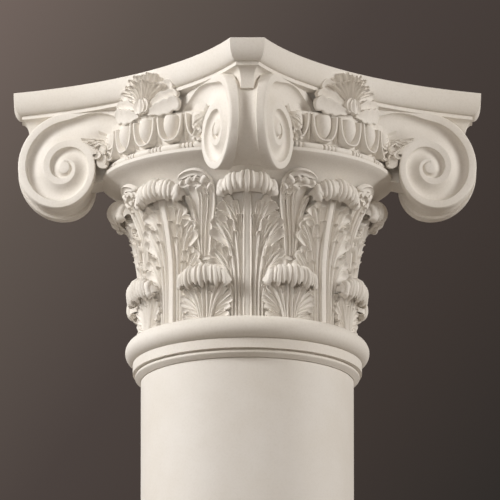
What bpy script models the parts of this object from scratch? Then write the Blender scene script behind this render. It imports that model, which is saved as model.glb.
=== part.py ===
"""Column capital with diagonal scrolls above two rows of acanthus leaves, on the head of its shaft.

The faces of the abacus look along X and Y, and the scrolls stand on the diagonals. Metres, +Z up,
with the origin at the centre of the shaft's underside.
"""

import math

import bmesh
import bpy
import numpy as np
from mathutils import Matrix, Vector

# Shaft head
SHAFT_RADIUS = 0.150
SHAFT_HEIGHT = 0.220
JOINT_GAP = 0.0003

# Necking: a quirked bead, a band and a torus, each standing out from the shaft by its own amount
BEAD_HEIGHT = 0.011
BEAD_PROJECTION = 0.0085
BAND_HEIGHT = 0.014
BAND_PROJECTION = 0.0116
TORUS_HEIGHT = 0.033
TORUS_PROJECTION = 0.0222

# Bell, its lip, and the egg moulding above it
BELL_HEIGHT = 0.228
BELL_INSET = 0.004
LIP_RADIUS = 0.2075
LIP_FILLET_HEIGHT = 0.0068
ASTRAGAL_HEIGHT = 0.0106
ASTRAGAL_INSET = 0.006
ECHINUS_HEIGHT = 0.0446
ECHINUS_FOOT_INSET = 0.013
ECHINUS_HEAD_INSET = 0.004

# Eggs, counted along one face between two scrolls
EGGS_PER_TURN = 28
EGGS_SHOWN_PER_FACE = 5
EGG_HALF_WIDTH = 0.0120
EGG_HALF_HEIGHT = 0.0185
EGG_PROJECTION = 0.0075

# Abacus
ABACUS_CORNER_REACH = 0.3305
ABACUS_CORNER_WIDTH = 0.0488
ABACUS_MIDDLE_REACH = 0.2034
OVOLO_HEIGHT = 0.0314
OVOLO_DEPTH = 0.0122
ABACUS_FILLET_HEIGHT = 0.0057
CAVETTO_HEIGHT = 0.0302
CAVETTO_DEPTH = 0.0100

# Scrolls: the spiral is drawn round an eye, in two planes that close in towards the corner
SCROLL_EYE_REACH = 0.2585
SCROLL_EYE_SIDE = 0.0446
SCROLL_EYE_BELOW_ABACUS = 0.0465
SCROLL_TOP_RADIUS = 0.0795
SCROLL_SHRINK_PER_QUARTER = 0.141
SCROLL_SHRINK_EASING = 0.0044
SCROLL_ROOT_SPREAD = 0.45
SCROLL_SPREAD_DEG = 17.5
SCROLL_QUARTERS = 5.5
SCROLL_ROOT_QUARTERS = 0.75
SCROLL_RIM_WIDTH = 0.0112
SCROLL_CHANNEL_DEPTH = 0.0070
SCROLL_BELT_HOLLOW = 0.0040

# Leaves: the upper ones reach to a set drop under the lip, and the heads stand out from the bell's foot
UPPER_LEAF_BELOW_LIP = 0.0215
UPPER_LEAF_HALF_WIDTH = 0.0520
UPPER_HEAD_REACH = 0.0535
LOWER_LEAF_HEIGHT = 0.0790
LOWER_LEAF_HALF_WIDTH = 0.0420
LOWER_HEAD_REACH = 0.0320
LEAVES_PER_ROW = 8

# Small scrolled stalks between the upper leaves
STALK_FOOT = 0.100
STALK_BELOW_LIP = 0.016
STALK_HALF_WIDTH = 0.017
STALK_PROJECTION = 0.024

# Palmette on the middle of each face of the abacus
PALMETTE_HALF_WIDTH = 0.060
PALMETTE_HEIGHT = 0.0690
PALMETTE_PROJECTION = 0.012
PALMETTE_SINK = 0.030

# Facet counts
TURNED_SEGMENTS = 32
ABACUS_SIDE_STEPS = 6
SCROLL_STEPS_PER_TURN = 18

# Levels worked out from the heights above
CAPITAL_FOOT = SHAFT_HEIGHT + JOINT_GAP
TORUS_TOP = CAPITAL_FOOT + BEAD_HEIGHT + BAND_HEIGHT + TORUS_HEIGHT
LIP_LEVEL = TORUS_TOP + BELL_HEIGHT
ASTRAGAL_LEVEL = LIP_LEVEL + LIP_FILLET_HEIGHT
ECHINUS_LEVEL = ASTRAGAL_LEVEL + ASTRAGAL_HEIGHT
ABACUS_LEVEL = ECHINUS_LEVEL + ECHINUS_HEIGHT
ABACUS_TOP = ABACUS_LEVEL + CAVETTO_HEIGHT + ABACUS_FILLET_HEIGHT + OVOLO_HEIGHT
BELL_RADIUS = SHAFT_RADIUS - BELL_INSET
UPPER_LEAF_HEIGHT = BELL_HEIGHT - UPPER_LEAF_BELOW_LIP
STALK_HEIGHT = BELL_HEIGHT - STALK_BELOW_LIP - STALK_FOOT

WELD = 0.00001


def clear_scene():
    for old in list(bpy.data.objects):
        bpy.data.objects.remove(old)


def new_collection(name, hidden=False):
    made = bpy.data.collections.new(name)
    bpy.context.scene.collection.children.link(made)
    made.hide_render = hidden
    return made


def cast_stone():
    material = bpy.data.materials.new("cast_stone")
    material.use_nodes = True
    shader = material.node_tree.nodes["Principled BSDF"]
    shader.inputs["Base Color"].default_value = (0.80, 0.76, 0.70, 1.0)
    shader.inputs["Roughness"].default_value = 0.6
    shader.inputs["Metallic"].default_value = 0.0
    return material


def arc(centre, radius, start_deg, end_deg, steps):
    """Points of an arc in the (radius, height) plane, both ends included."""
    angles = np.radians(np.linspace(start_deg, end_deg, steps + 1))
    return [(centre[0] + radius[0] * math.cos(a), centre[1] + radius[1] * math.sin(a)) for a in angles]


def turned(name, profile, material):
    """A solid of revolution: the profile runs from the axis at the top, down the outside, to the axis."""
    mesh = bpy.data.meshes.new(name)
    # Turned by half a segment, so that no edge stands in the middle of a leaf
    start = math.pi / TURNED_SEGMENTS
    points = [(radius * math.cos(start), radius * math.sin(start), height) for radius, height in profile]
    edges = [(i, i + 1) for i in range(len(points) - 1)]
    mesh.from_pydata(points, edges, [])
    made = bpy.data.objects.new(name, mesh)
    made.data.materials.append(material)
    screw = made.modifiers.new("turn", "SCREW")
    screw.steps = screw.render_steps = TURNED_SEGMENTS
    screw.use_merge_vertices = True
    screw.merge_threshold = WELD
    screw.use_smooth_shade = True
    return made


def lofted(name, rings, material, capped=True):
    """A skin over rings of equal point counts, each a list of Vectors going round the same way."""
    bm = bmesh.new()
    rows = [[bm.verts.new(point) for point in ring] for ring in rings]
    count = len(rows[0])
    for low, high in zip(rows, rows[1:]):
        for i in range(count):
            j = (i + 1) % count
            bm.faces.new((low[i], low[j], high[j], high[i]))
    if capped:
        bm.faces.new(list(reversed(rows[0])))
        bm.faces.new(rows[-1])
    bmesh.ops.recalc_face_normals(bm, faces=bm.faces)
    mesh = bpy.data.meshes.new(name)
    bm.to_mesh(mesh)
    bm.free()
    mesh.materials.append(material)
    return bpy.data.objects.new(name, mesh)


def bell_radius(height_share):
    """Radius of the bell at a share of its height: nearly straight, then flaring under the lip."""
    shares = (0.0, 0.22, 0.42, 0.60, 0.71, 0.80, 0.87, 0.905, 0.93, 0.96, 1.0)
    flare = (0.0, -0.02, 0.0, 0.03, 0.09, 0.20, 0.40, 0.66, 0.84, 0.97, 1.0)
    return BELL_RADIUS + (LIP_RADIUS - BELL_RADIUS) * float(np.interp(height_share, shares, flare))


def core_profile():
    """Half section of everything turned: necking, bell, lip, astragal and echinus."""
    bead_radius = SHAFT_RADIUS + BEAD_PROJECTION
    band_radius = SHAFT_RADIUS + BAND_PROJECTION
    torus_half = TORUS_HEIGHT / 2
    torus_centre = SHAFT_RADIUS + TORUS_PROJECTION - torus_half
    band_level = CAPITAL_FOOT + BEAD_HEIGHT
    torus_level = band_level + BAND_HEIGHT
    astragal_half = ASTRAGAL_HEIGHT / 2
    echinus_foot = LIP_RADIUS - ECHINUS_FOOT_INSET
    echinus_head = LIP_RADIUS - ECHINUS_HEAD_INSET
    abacus_overlap = CAVETTO_HEIGHT / 2
    profile = [(0.0, ABACUS_LEVEL + abacus_overlap), (echinus_foot - CAVETTO_DEPTH, ABACUS_LEVEL + abacus_overlap)]
    profile += [(echinus_foot - CAVETTO_DEPTH, ABACUS_LEVEL), (echinus_head, ABACUS_LEVEL)]
    profile += arc(
        (echinus_foot, ABACUS_LEVEL), (echinus_head - echinus_foot, ABACUS_LEVEL - ECHINUS_LEVEL), -25, -90, 2
    )
    profile += arc(
        (LIP_RADIUS - ASTRAGAL_INSET - astragal_half, ECHINUS_LEVEL - astragal_half),
        (astragal_half, astragal_half * 0.98), 60, -60, 2,
    )
    profile += [(LIP_RADIUS - ASTRAGAL_INSET, ASTRAGAL_LEVEL), (LIP_RADIUS, ASTRAGAL_LEVEL)]
    for share in (1.0, 0.96, 0.91, 0.86, 0.77, 0.60, 0.0):
        profile.append((bell_radius(share), TORUS_TOP + share * BELL_HEIGHT))
    profile += arc((torus_centre, torus_level + torus_half), (torus_half, torus_half * 0.98), 78, -78, 4)
    profile += [(band_radius, torus_level), (band_radius, band_level)]
    profile += arc(
        (SHAFT_RADIUS, band_level), (bead_radius - SHAFT_RADIUS, band_level - CAPITAL_FOOT), -8, -90, 2
    )
    profile.append((0.0, CAPITAL_FOOT))
    return profile


def abacus_outline(inset):
    """The plan of the abacus, drawn in by an inset: four hollow sides and four cut corners."""
    half_corner = ABACUS_CORNER_WIDTH / 2
    corner_out = (ABACUS_CORNER_REACH + half_corner) / math.sqrt(2)
    corner_side = (ABACUS_CORNER_REACH - half_corner) / math.sqrt(2)
    rise = corner_out - ABACUS_MIDDLE_REACH
    sweep_radius = (corner_side**2 + rise**2) / (2 * rise)
    sweep_centre = ABACUS_MIDDLE_REACH + sweep_radius
    drawn_radius = sweep_radius + inset
    corner_line = ABACUS_CORNER_REACH - inset
    # The end of a side is where its arc meets the line that cuts the corner: out + side = corner_line * sqrt 2
    across = corner_line * math.sqrt(2) - sweep_centre
    end_side = (across + math.sqrt(2 * drawn_radius**2 - across**2)) / 2
    outline = []
    for quarter in range(4):
        turn = Matrix.Rotation(math.radians(90 * quarter), 3, "Z")
        for step in range(ABACUS_SIDE_STEPS + 1):
            side = end_side * (2 * step / ABACUS_SIDE_STEPS - 1)
            out = sweep_centre - math.sqrt(drawn_radius**2 - side**2)
            outline.append(turn @ Vector((out, side, 0.0)))
    return outline


def abacus(material):
    """Ovolo, fillet and cavetto lofted round the hollow-sided plan."""
    fillet_foot = ABACUS_LEVEL + CAVETTO_HEIGHT
    fillet_top = fillet_foot + ABACUS_FILLET_HEIGHT
    levels = [(OVOLO_DEPTH + CAVETTO_DEPTH, ABACUS_LEVEL)]
    for degrees in (10, 45, 90):
        a = math.radians(degrees)
        inset = OVOLO_DEPTH + CAVETTO_DEPTH * math.cos(a)
        levels.append((inset, ABACUS_LEVEL + CAVETTO_HEIGHT * (0.35 + 0.65 * math.sin(a))))
    levels.append((OVOLO_DEPTH, fillet_top))
    for degrees in (15, 50, 80):
        a = math.radians(degrees)
        levels.append((OVOLO_DEPTH * (1 - math.sin(a)), fillet_top + OVOLO_HEIGHT * 0.6 * (1 - math.cos(a))))
    levels.append((0.0, ABACUS_TOP))
    rings = [[point + Vector((0, 0, level)) for point in abacus_outline(inset)] for inset, level in levels]
    return lofted("abacus_block", rings, material)


def scroll_radius(quarters):
    """Radius of the spiral, where quarter 0 is straight up from the eye and 1 is outwards."""
    shrink = SCROLL_SHRINK_PER_QUARTER * quarters - SCROLL_SHRINK_EASING * quarters * abs(quarters)
    spread = SCROLL_ROOT_SPREAD * max(-quarters, 0) ** 1.2
    return SCROLL_TOP_RADIUS * (1 - shrink) * (1 + spread)


def scroll_point(quarters, radius, depth, side):
    """A point of one scroll face: polar about the eye, sunk by a depth, in the frame of a diagonal on +X."""
    spread = math.radians(SCROLL_SPREAD_DEG)
    angle = quarters * math.pi / 2
    along = radius * math.sin(angle)
    reach = SCROLL_EYE_REACH + along * math.cos(spread) - depth * math.sin(spread)
    aside = SCROLL_EYE_SIDE - along * math.sin(spread) - depth * math.cos(spread)
    height = ABACUS_LEVEL - SCROLL_EYE_BELOW_ABACUS + radius * math.cos(angle)
    return Vector((reach, side * aside, height))


def scroll_block(material):
    """Both faces of one corner's scroll with their sunk channels, and the hollow belt between them."""
    bm = bmesh.new()
    steps = round((SCROLL_QUARTERS + SCROLL_ROOT_QUARTERS) * SCROLL_STEPS_PER_TURN / 4)
    turns = [4 * i / SCROLL_STEPS_PER_TURN - SCROLL_ROOT_QUARTERS for i in range(steps + 1)]
    last = turns[-1]
    edges = {}
    for side in (1, -1):
        rows = []
        for k in turns:
            outer, inner = scroll_radius(k), scroll_radius(k + 4)
            fade = min(1.0, (last - k) / 1.5)
            band = outer - inner
            rim = min(band / 2, SCROLL_RIM_WIDTH * (0.45 + 0.55 * outer / SCROLL_TOP_RADIUS))
            depth = SCROLL_CHANNEL_DEPTH * fade * min(1.0, 0.35 + outer / SCROLL_TOP_RADIUS)
            spots = [(outer, 0.0), (outer - rim, 0.0), (outer - rim - band * 0.08, depth), (inner, 0.0)]
            rows.append([bm.verts.new(scroll_point(k, r, d, side)) for r, d in spots])
        for low, high in zip(rows, rows[1:]):
            for i in range(len(low) - 1):
                bm.faces.new((low[i], low[i + 1], high[i + 1], high[i]))
        eye = [row[-1] for row in rows[-SCROLL_STEPS_PER_TURN - 1 :]] + list(reversed(rows[-1][:-1]))
        middle = bm.verts.new(scroll_point(last + 1, scroll_radius(last + 4) * 2, 0, side))
        for here, there in zip(eye, eye[1:]):
            bm.faces.new((middle, here, there))
        edges[side] = [row[0] for row in rows[: SCROLL_STEPS_PER_TURN + 1]] + list(reversed(rows[0][1:-1]))
    belt = [edges[1]]
    eye_point = scroll_point(0, 0, 0, 0)
    around = len(edges[1])
    for share, hollow in ((0.76, 0.0), (0.50, 1.0), (0.24, 0.0)):
        column = []
        for i in range(around):
            spot = edges[-1][i].co.lerp(edges[1][i].co, share)
            middle = Vector((eye_point.x, spot.y, eye_point.z))
            inward = (middle - spot).normalized() * SCROLL_BELT_HOLLOW * hollow
            column.append(bm.verts.new(spot + inward))
        belt.append(column)
    belt.append(edges[-1])
    for near, far in zip(belt, belt[1:]):
        for i in range(around):
            j = (i + 1) % around
            bm.faces.new((near[i], near[j], far[j], far[i]))
    bmesh.ops.remove_doubles(bm, verts=bm.verts, dist=WELD)
    bmesh.ops.recalc_face_normals(bm, faces=bm.faces)
    mesh = bpy.data.meshes.new("scroll_block")
    bm.to_mesh(mesh)
    bm.free()
    mesh.materials.append(material)
    return mesh


def leaf_mesh(name, height, half_width, reach, sections, material):
    """One leaf on +X. A section gives its height share, how far its middle stands from the bell's foot as a
    share of the head's reach, its half width and thickness as shares of the half width, and its arch."""
    middles = []
    for height_share, reach_share, _, _, _ in sections:
        level = height_share * height
        middles.append(Vector((BELL_RADIUS + reach_share * reach, 0.0, TORUS_TOP + level)))
    rings = []
    for i, (_, _, width_share, thickness_share, arch) in enumerate(sections):
        ahead = middles[min(i + 1, len(middles) - 1)] - middles[max(i - 1, 0)]
        ahead.normalize()
        front = Vector((ahead.z, 0.0, -ahead.x))
        width = half_width * width_share
        thickness = half_width * thickness_share
        ring = []
        outline = ((-1, 0.0), (-0.5, 0.42), (0, 0.5), (0.5, 0.42), (1, 0.0), (0.55, -0.5), (-0.55, -0.5))
        for across, through in outline:
            spot = middles[i] + front * through * thickness
            spot.z -= arch * half_width * (1 - math.sqrt(1 - 0.96 * across**2))
            turn = across * width / spot.x
            ring.append(Vector((spot.x * math.cos(turn), spot.x * math.sin(turn), spot.z)))
        rings.append(ring)
    made = lofted(name, rings, material)
    return made.data


UPPER_SECTIONS = (
    (-0.02, -0.01, 0.42, 0.30, 0.0),
    (0.28, -0.04, 0.60, 0.30, 0.0),
    (0.44, -0.02, 0.82, 0.28, 0.0),
    (0.55, 0.05, 0.68, 0.28, 0.0),
    (0.66, 0.15, 0.96, 0.28, 0.0),
    (0.77, 0.28, 0.78, 0.26, 0.08),
    (0.89, 0.46, 0.80, 0.22, 0.34),
    (0.965, 0.64, 0.82, 0.18, 0.52),
    (0.955, 0.81, 0.82, 0.16, 0.50),
    (0.88, 0.92, 0.81, 0.15, 0.30),
    (0.81, 0.92, 0.76, 0.14, 0.10),
    (0.785, 0.82, 0.60, 0.11, 0.0),
)

LOWER_SECTIONS = (
    (-0.04, 0.12, 0.50, 0.30, 0.0),
    (0.20, 0.12, 0.92, 0.30, 0.0),
    (0.40, 0.13, 0.72, 0.30, 0.0),
    (0.60, 0.20, 0.94, 0.30, 0.0),
    (0.80, 0.34, 0.86, 0.22, 0.20),
    (0.93, 0.52, 0.91, 0.20, 0.48),
    (0.93, 0.74, 0.91, 0.19, 0.50),
    (0.78, 0.90, 0.90, 0.18, 0.26),
    (0.60, 0.84, 0.66, 0.13, 0.02),
)


def stalk_mesh(material):
    """A stalk on +X that widens upwards and rolls over towards +Y, in shares of its height and width."""
    path = (
        (0.00, 0.0, 0.00, 0.35),
        (0.40, -0.2, 0.18, 0.55),
        (0.72, -0.2, 0.50, 0.95),
        (0.88, 0.2, 0.75, 1.15),
        (0.95, 0.9, 0.92, 1.00),
        (0.88, 1.6, 0.95, 0.70),
        (0.80, 2.1, 0.90, 0.25),
    )
    spots = []
    for height_share, side_share, out_share, _ in path:
        level = STALK_FOOT + height_share * STALK_HEIGHT
        radius = bell_radius(min(level / BELL_HEIGHT, 0.75)) + out_share * STALK_PROJECTION
        spots.append(Vector((radius, side_share * STALK_HALF_WIDTH, TORUS_TOP + level)))
    rings = []
    for i, spot in enumerate(spots):
        ahead = (spots[min(i + 1, len(spots) - 1)] - spots[max(i - 1, 0)]).normalized()
        across = ahead.cross(Vector((1, 0, 0))).normalized()
        out = across.cross(ahead).normalized()
        size = STALK_HALF_WIDTH * path[i][3]
        ring = []
        for step in range(5):
            a = math.radians(72 * step)
            ring.append(spot + across * math.cos(a) * size - out * math.sin(a) * size * 0.6)
        rings.append(ring)
    return lofted("stalk", rings, material).data


def palmette_mesh(material):
    """The fan of leaves on +X before the abacus: its back is sunk in the mouldings behind it."""
    sections = (
        (-0.08, 0.20, 0.30),
        (0.12, 0.36, 0.70),
        (0.30, 0.86, 0.90),
        (0.42, 0.74, 0.90),
        (0.55, 1.00, 0.95),
        (0.68, 0.70, 1.00),
        (0.84, 0.66, 0.90),
        (1.00, 0.24, 0.50),
    )
    face = ABACUS_MIDDLE_REACH - OVOLO_DEPTH
    foot = ABACUS_LEVEL - ASTRAGAL_INSET
    rings = []
    for height_share, width_share, out_share in sections:
        width = PALMETTE_HALF_WIDTH * width_share
        level = foot + height_share * PALMETTE_HEIGHT
        front = face + OVOLO_DEPTH + PALMETTE_PROJECTION * out_share
        edge = face + OVOLO_DEPTH * 0.5
        back = face - PALMETTE_SINK
        ring = [Vector((back, -width, level)), Vector((edge, -width, level))]
        ring += [Vector((front, -width * 0.45, level)), Vector((front + PALMETTE_PROJECTION * 0.4, 0, level))]
        ring += [Vector((front, width * 0.45, level)), Vector((edge, width, level)), Vector((back, width, level))]
        rings.append(ring)
    return lofted("palmette", rings, material).data


def egg_mesh(material):
    """One egg of the echinus on +X, cut off flat above by the level that the abacus hides."""
    bm = bmesh.new()
    bmesh.ops.create_uvsphere(bm, u_segments=6, v_segments=4, radius=1.0)
    lean = math.atan2(ECHINUS_FOOT_INSET - ECHINUS_HEAD_INSET, ECHINUS_HEIGHT)
    bmesh.ops.scale(bm, vec=(EGG_PROJECTION * 1.9, EGG_HALF_WIDTH, EGG_HALF_HEIGHT), verts=bm.verts)
    bmesh.ops.rotate(bm, cent=(0, 0, 0), matrix=Matrix.Rotation(lean, 3, "Y"), verts=bm.verts)
    centre = (LIP_RADIUS - ECHINUS_HEAD_INSET - EGG_PROJECTION, 0, ECHINUS_LEVEL + ECHINUS_HEIGHT * 0.52)
    bmesh.ops.translate(bm, vec=centre, verts=bm.verts)
    mesh = bpy.data.meshes.new("egg")
    bm.to_mesh(mesh)
    bm.free()
    mesh.materials.append(material)
    return mesh


def place(collection, mesh, name, azimuth_deg, mirrored=False):
    """A copy of a mesh that was modelled on +X, turned to its azimuth, as a hidden guide for the union."""
    if mirrored:
        mesh = mesh.copy()
        mesh.transform(Matrix.Scale(-1, 4, Vector((0, 1, 0))))
        mesh.flip_normals()
    copy = bpy.data.objects.new(name, mesh)
    copy.rotation_euler = (0, 0, math.radians(azimuth_deg))
    copy.hide_render = True
    copy.display_type = "WIRE"
    collection.objects.link(copy)


def capital(parts, guides, material):
    """The whole capital as one casting: the turned core with every carved piece joined to it."""
    core = turned("capital", core_profile(), material)
    parts.objects.link(core)
    block = abacus(material)
    place(guides, block.data, "abacus_block", 0)
    bpy.data.objects.remove(block)
    scroll = scroll_block(material)
    upper = leaf_mesh("upper_leaf", UPPER_LEAF_HEIGHT, UPPER_LEAF_HALF_WIDTH, UPPER_HEAD_REACH, UPPER_SECTIONS, material)
    lower = leaf_mesh("lower_leaf", LOWER_LEAF_HEIGHT, LOWER_LEAF_HALF_WIDTH, LOWER_HEAD_REACH, LOWER_SECTIONS, material)
    stalk, palmette = stalk_mesh(material), palmette_mesh(material)
    egg = egg_mesh(material)
    egg_pitch = 360 / EGGS_PER_TURN
    for face in range(4):
        middle = 90 * face
        place(guides, scroll, f"scroll_{face}", middle + 45)
        place(guides, palmette, f"palmette_{face}", middle)
        place(guides, stalk, f"stalk_a_{face}", middle + 22.5, mirrored=True)
        place(guides, stalk, f"stalk_b_{face}", middle - 22.5)
        for i in range(EGGS_SHOWN_PER_FACE):
            offset = (i - (EGGS_SHOWN_PER_FACE - 1) / 2) * egg_pitch
            place(guides, egg, f"egg_{face}_{i}", middle + offset)
    for i in range(LEAVES_PER_ROW):
        turn = 360 * i / LEAVES_PER_ROW
        place(guides, upper, f"upper_leaf_{i}", turn)
        place(guides, lower, f"lower_leaf_{i}", turn + 180 / LEAVES_PER_ROW)
    union = core.modifiers.new("carving", "BOOLEAN")
    union.operation = "UNION"
    union.operand_type = "COLLECTION"
    union.collection = guides
    union.solver = "EXACT"
    return core


def shaft_head(parts, material):
    """The plain drum that the capital stands on, cut off square below."""
    profile = [(0.0, SHAFT_HEIGHT), (SHAFT_RADIUS, SHAFT_HEIGHT), (SHAFT_RADIUS, 0.0), (0.0, 0.0)]
    drum = turned("shaft_head", profile, material)
    parts.objects.link(drum)
    return drum


def main():
    clear_scene()
    stone = cast_stone()
    parts = new_collection("composite_capital")
    guides = new_collection("guides", hidden=True)
    shaft_head(parts, stone)
    capital(parts, guides, stone)


main()
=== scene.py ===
import math

import bmesh
import bpy
import numpy as np
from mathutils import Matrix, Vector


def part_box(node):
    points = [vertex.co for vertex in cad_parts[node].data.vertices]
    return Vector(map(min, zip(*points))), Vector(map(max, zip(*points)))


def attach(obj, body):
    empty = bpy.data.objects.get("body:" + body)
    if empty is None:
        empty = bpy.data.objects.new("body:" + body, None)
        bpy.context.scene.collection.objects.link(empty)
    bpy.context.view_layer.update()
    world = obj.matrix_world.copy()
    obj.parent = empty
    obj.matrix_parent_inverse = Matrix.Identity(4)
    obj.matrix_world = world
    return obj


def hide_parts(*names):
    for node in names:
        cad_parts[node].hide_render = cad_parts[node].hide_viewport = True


# A cast-stone column capital: four diagonal scrolls over a bell of acanthus leaves. Metres, +Z up.
# The faces of the abacus look along X and Y, and the scrolls stand on the diagonals.
# A carved piece is drawn once on the +X side, and a ring tree repeats it round the column.

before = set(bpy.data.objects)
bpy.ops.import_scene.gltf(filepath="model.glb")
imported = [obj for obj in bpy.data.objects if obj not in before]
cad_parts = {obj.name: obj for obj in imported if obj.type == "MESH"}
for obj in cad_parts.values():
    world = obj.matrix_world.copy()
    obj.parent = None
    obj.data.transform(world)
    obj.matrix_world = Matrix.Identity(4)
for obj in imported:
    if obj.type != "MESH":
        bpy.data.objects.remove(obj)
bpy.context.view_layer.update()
capLow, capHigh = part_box("capital")
shaftLow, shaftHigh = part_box("shaft_head")

necking = {
    "shaftRadius": 0.150,
    "beadHeight": 0.011,
    "beadProud": 0.0085,
    "bandHeight": 0.014,
    "bandProud": 0.0116,
    "torusHeight": 0.033,
    "torusProud": 0.0222,
    "segments": 160,
}

bell = {
    "height": 0.228,  # from the torus to the underside of the lip fillet
    "footInset": 0.004,
    "lipRadius": 0.2068,
    "filletHeight": 0.0068,
    "beadRowHeight": 0.0106,
    "beadRowInset": 0.0115,
    "echinusHeight": 0.0446,
    "echinusFoot": 0.1925,
    "echinusHead": 0.1995,
    "bedInset": 0.026,  # of the core's top, which stands a little way up inside the abacus
    "bedRise": 0.012,
    "bowl": (  # radius, and height over the underside of the lip fillet
        (0.2058, 0.0010), (0.2005, -0.0028), (0.1925, -0.0076), (0.1850, -0.0130), (0.1770, -0.0205),
        (0.1690, -0.0310), (0.1600, -0.0520), (0.1515, -0.0920), (0.1475, -0.1400),
    ),
}

torusTop = capLow.z + necking["beadHeight"] + necking["bandHeight"] + necking["torusHeight"]
lipLevel = torusTop + bell["height"]
beadLevel = lipLevel + bell["filletHeight"]
eggLevel = beadLevel + bell["beadRowHeight"]
abacusLevel = eggLevel + bell["echinusHeight"]
bellRadius = necking["shaftRadius"] - bell["footInset"]


# Mesh helpers

def added(name, data):
    made = bpy.data.objects.new(name, data)
    bpy.context.scene.collection.objects.link(made)
    return made


def meshObject(name, points, faces):
    mesh = bpy.data.meshes.new(name)
    mesh.from_pydata([tuple(p) for p in points], [], faces)
    mesh.update()
    return added(name, mesh)


def gridFaces(rows, columns, start=0, wrap=False):
    faces = []
    for i in range(rows - 1):
        for j in range(columns if wrap else columns - 1):
            a = start + i * columns + j
            b = start + i * columns + (j + 1) % columns
            faces.append((a, b, b + columns, a + columns))
    return faces


def tubeFaces(rows, columns, start=0):
    # Rings of points joined one to the next, with a face over each end
    ends = [tuple(start + row * columns + i for i in range(columns)) for row in (0, rows - 1)]
    return gridFaces(rows, columns, start, wrap=True) + ends


def tidyMesh(made, weld=0.00002, smoothDegrees=38):
    bm = bmesh.new()
    bm.from_mesh(made.data)
    bmesh.ops.remove_doubles(bm, verts=bm.verts, dist=weld)
    bmesh.ops.dissolve_degenerate(bm, edges=bm.edges, dist=weld / 2)
    bmesh.ops.recalc_face_normals(bm, faces=bm.faces)
    bm.to_mesh(made.data)
    bm.free()
    made.data.shade_smooth()
    made.data.set_sharp_from_angle(angle=math.radians(smoothDegrees))
    return made


def curveThrough(points, count):
    # A smooth line through a few points, evenly spaced along its length
    points = np.array(points, dtype=float)
    padded = np.vstack([2 * points[0] - points[1], points, 2 * points[-1] - points[-2]])
    made = []
    for i in range(1, len(padded) - 2):
        before, here, there, after = padded[i - 1 : i + 3]
        for t in np.linspace(0, 1, 24, endpoint=False):
            bend = 2 * here + (there - before) * t
            bend = bend + (2 * before - 5 * here + 4 * there - after) * t**2
            bend = bend + (3 * here - before - 3 * there + after) * t**3
            made.append(bend / 2)
    made.append(points[-1])
    made = np.array(made)
    steps = lengthAlong(made)
    wanted = np.linspace(0, steps[-1], count)
    return np.stack([np.interp(wanted, steps, made[:, i]) for i in range(made.shape[1])], axis=1)


def clamp(value):
    return min(1.0, max(0.0, value))


def smooth(share):
    return share * share * (3 - 2 * share)


def lengthAlong(points):
    return np.concatenate([[0], np.cumsum(np.linalg.norm(np.diff(points, axis=0), axis=1))])


def arcPoints(centre, radius, startDeg, endDeg, steps):
    angles = np.radians(np.linspace(startDeg, endDeg, steps + 1))
    return [(centre[0] + radius[0] * math.cos(a), centre[1] + radius[1] * math.sin(a)) for a in angles]


# Node helpers

def addNode(tree, kind, values=None, **settings):
    # Settings come first, because some of them change which inputs a node has
    made = tree.nodes.new(kind)
    for label, value in settings.items():
        setattr(made, label, value)
    for label, value in (values or {}).items():
        made.inputs[label].default_value = value
    return made


def rampNode(tree, value, stops):
    # A colour ramp over a value, through places and colours in rising order
    made = tree.nodes.new("ShaderNodeValToRGB")
    ramp = made.color_ramp.elements
    ramp[0].position, ramp[1].position = stops[0][0], stops[-1][0]
    for place, colour in stops[1:-1]:
        ramp.new(place)
    for stop, (place, colour) in zip(ramp, stops):
        stop.color = (*colour, 1)
    tree.links.new(value, made.inputs["Fac"])
    return made.outputs["Color"]


# Materials: one stone, cast smooth, in two batches that differ by a shade

def castStone(name, tone, rubbed, grain):
    made = bpy.data.materials.new(name)
    made.use_nodes = True
    tree, links = made.node_tree, made.node_tree.links
    shader = tree.nodes["Principled BSDF"]
    shader.inputs["Metallic"].default_value = 0.0
    shader.inputs["Specular IOR Level"].default_value = 0.32
    place = tree.nodes.new("ShaderNodeTexCoord")
    textures = []
    # The slow drift of tone over the casting, the grain of the mix and the faint unevenness of the mould
    for scale, detail, rough in ((7.0, 5.0, 0.62), (340.0, 3.0, 0.5), (55.0, 2.0, 0.5)):
        values = {"Scale": scale, "Detail": detail, "Roughness": rough}
        textures.append(addNode(tree, "ShaderNodeTexNoise", values))
        links.new(place.outputs["Object"], textures[-1].inputs["Vector"])
    cloud, speck, wave = (texture.outputs["Fac"] for texture in textures)
    worn = (tone[0] * 0.93, tone[1] * 0.915, tone[2] * 0.885)
    dark = (1 - 0.07 * grain, 1 - 0.075 * grain, 1 - 0.085 * grain)
    mix = addNode(tree, "ShaderNodeMix", {0: 1.0}, data_type="RGBA", blend_type="MULTIPLY")
    links.new(rampNode(tree, cloud, ((0.33, worn), (0.68, tone))), mix.inputs[6])
    links.new(rampNode(tree, speck, ((0.30, dark), (0.55, (1, 1, 1)))), mix.inputs[7])
    links.new(mix.outputs[2], shader.inputs["Base Color"])
    rough = addNode(tree, "ShaderNodeMapRange", {"To Min": 0.52 - rubbed, "To Max": 0.74 - rubbed})
    links.new(cloud, rough.inputs["Value"])
    links.new(rough.outputs["Result"], shader.inputs["Roughness"])
    height = addNode(tree, "ShaderNodeMath", {1: 0.22}, operation="MULTIPLY_ADD")
    links.new(speck, height.inputs[0])
    links.new(wave, height.inputs[2])
    bump = addNode(tree, "ShaderNodeBump", {"Strength": 0.20 * grain, "Distance": 0.0009})
    links.new(height.outputs["Value"], bump.inputs["Height"])
    links.new(bump.outputs["Normal"], shader.inputs["Normal"])
    return made


stone = castStone("castStoneCarved", (0.855, 0.824, 0.780), 0.0, 0.7)
shaftStone = castStone("castStoneShaft", (0.850, 0.824, 0.788), 0.04, 0.4)


# Geometry node trees

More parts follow.
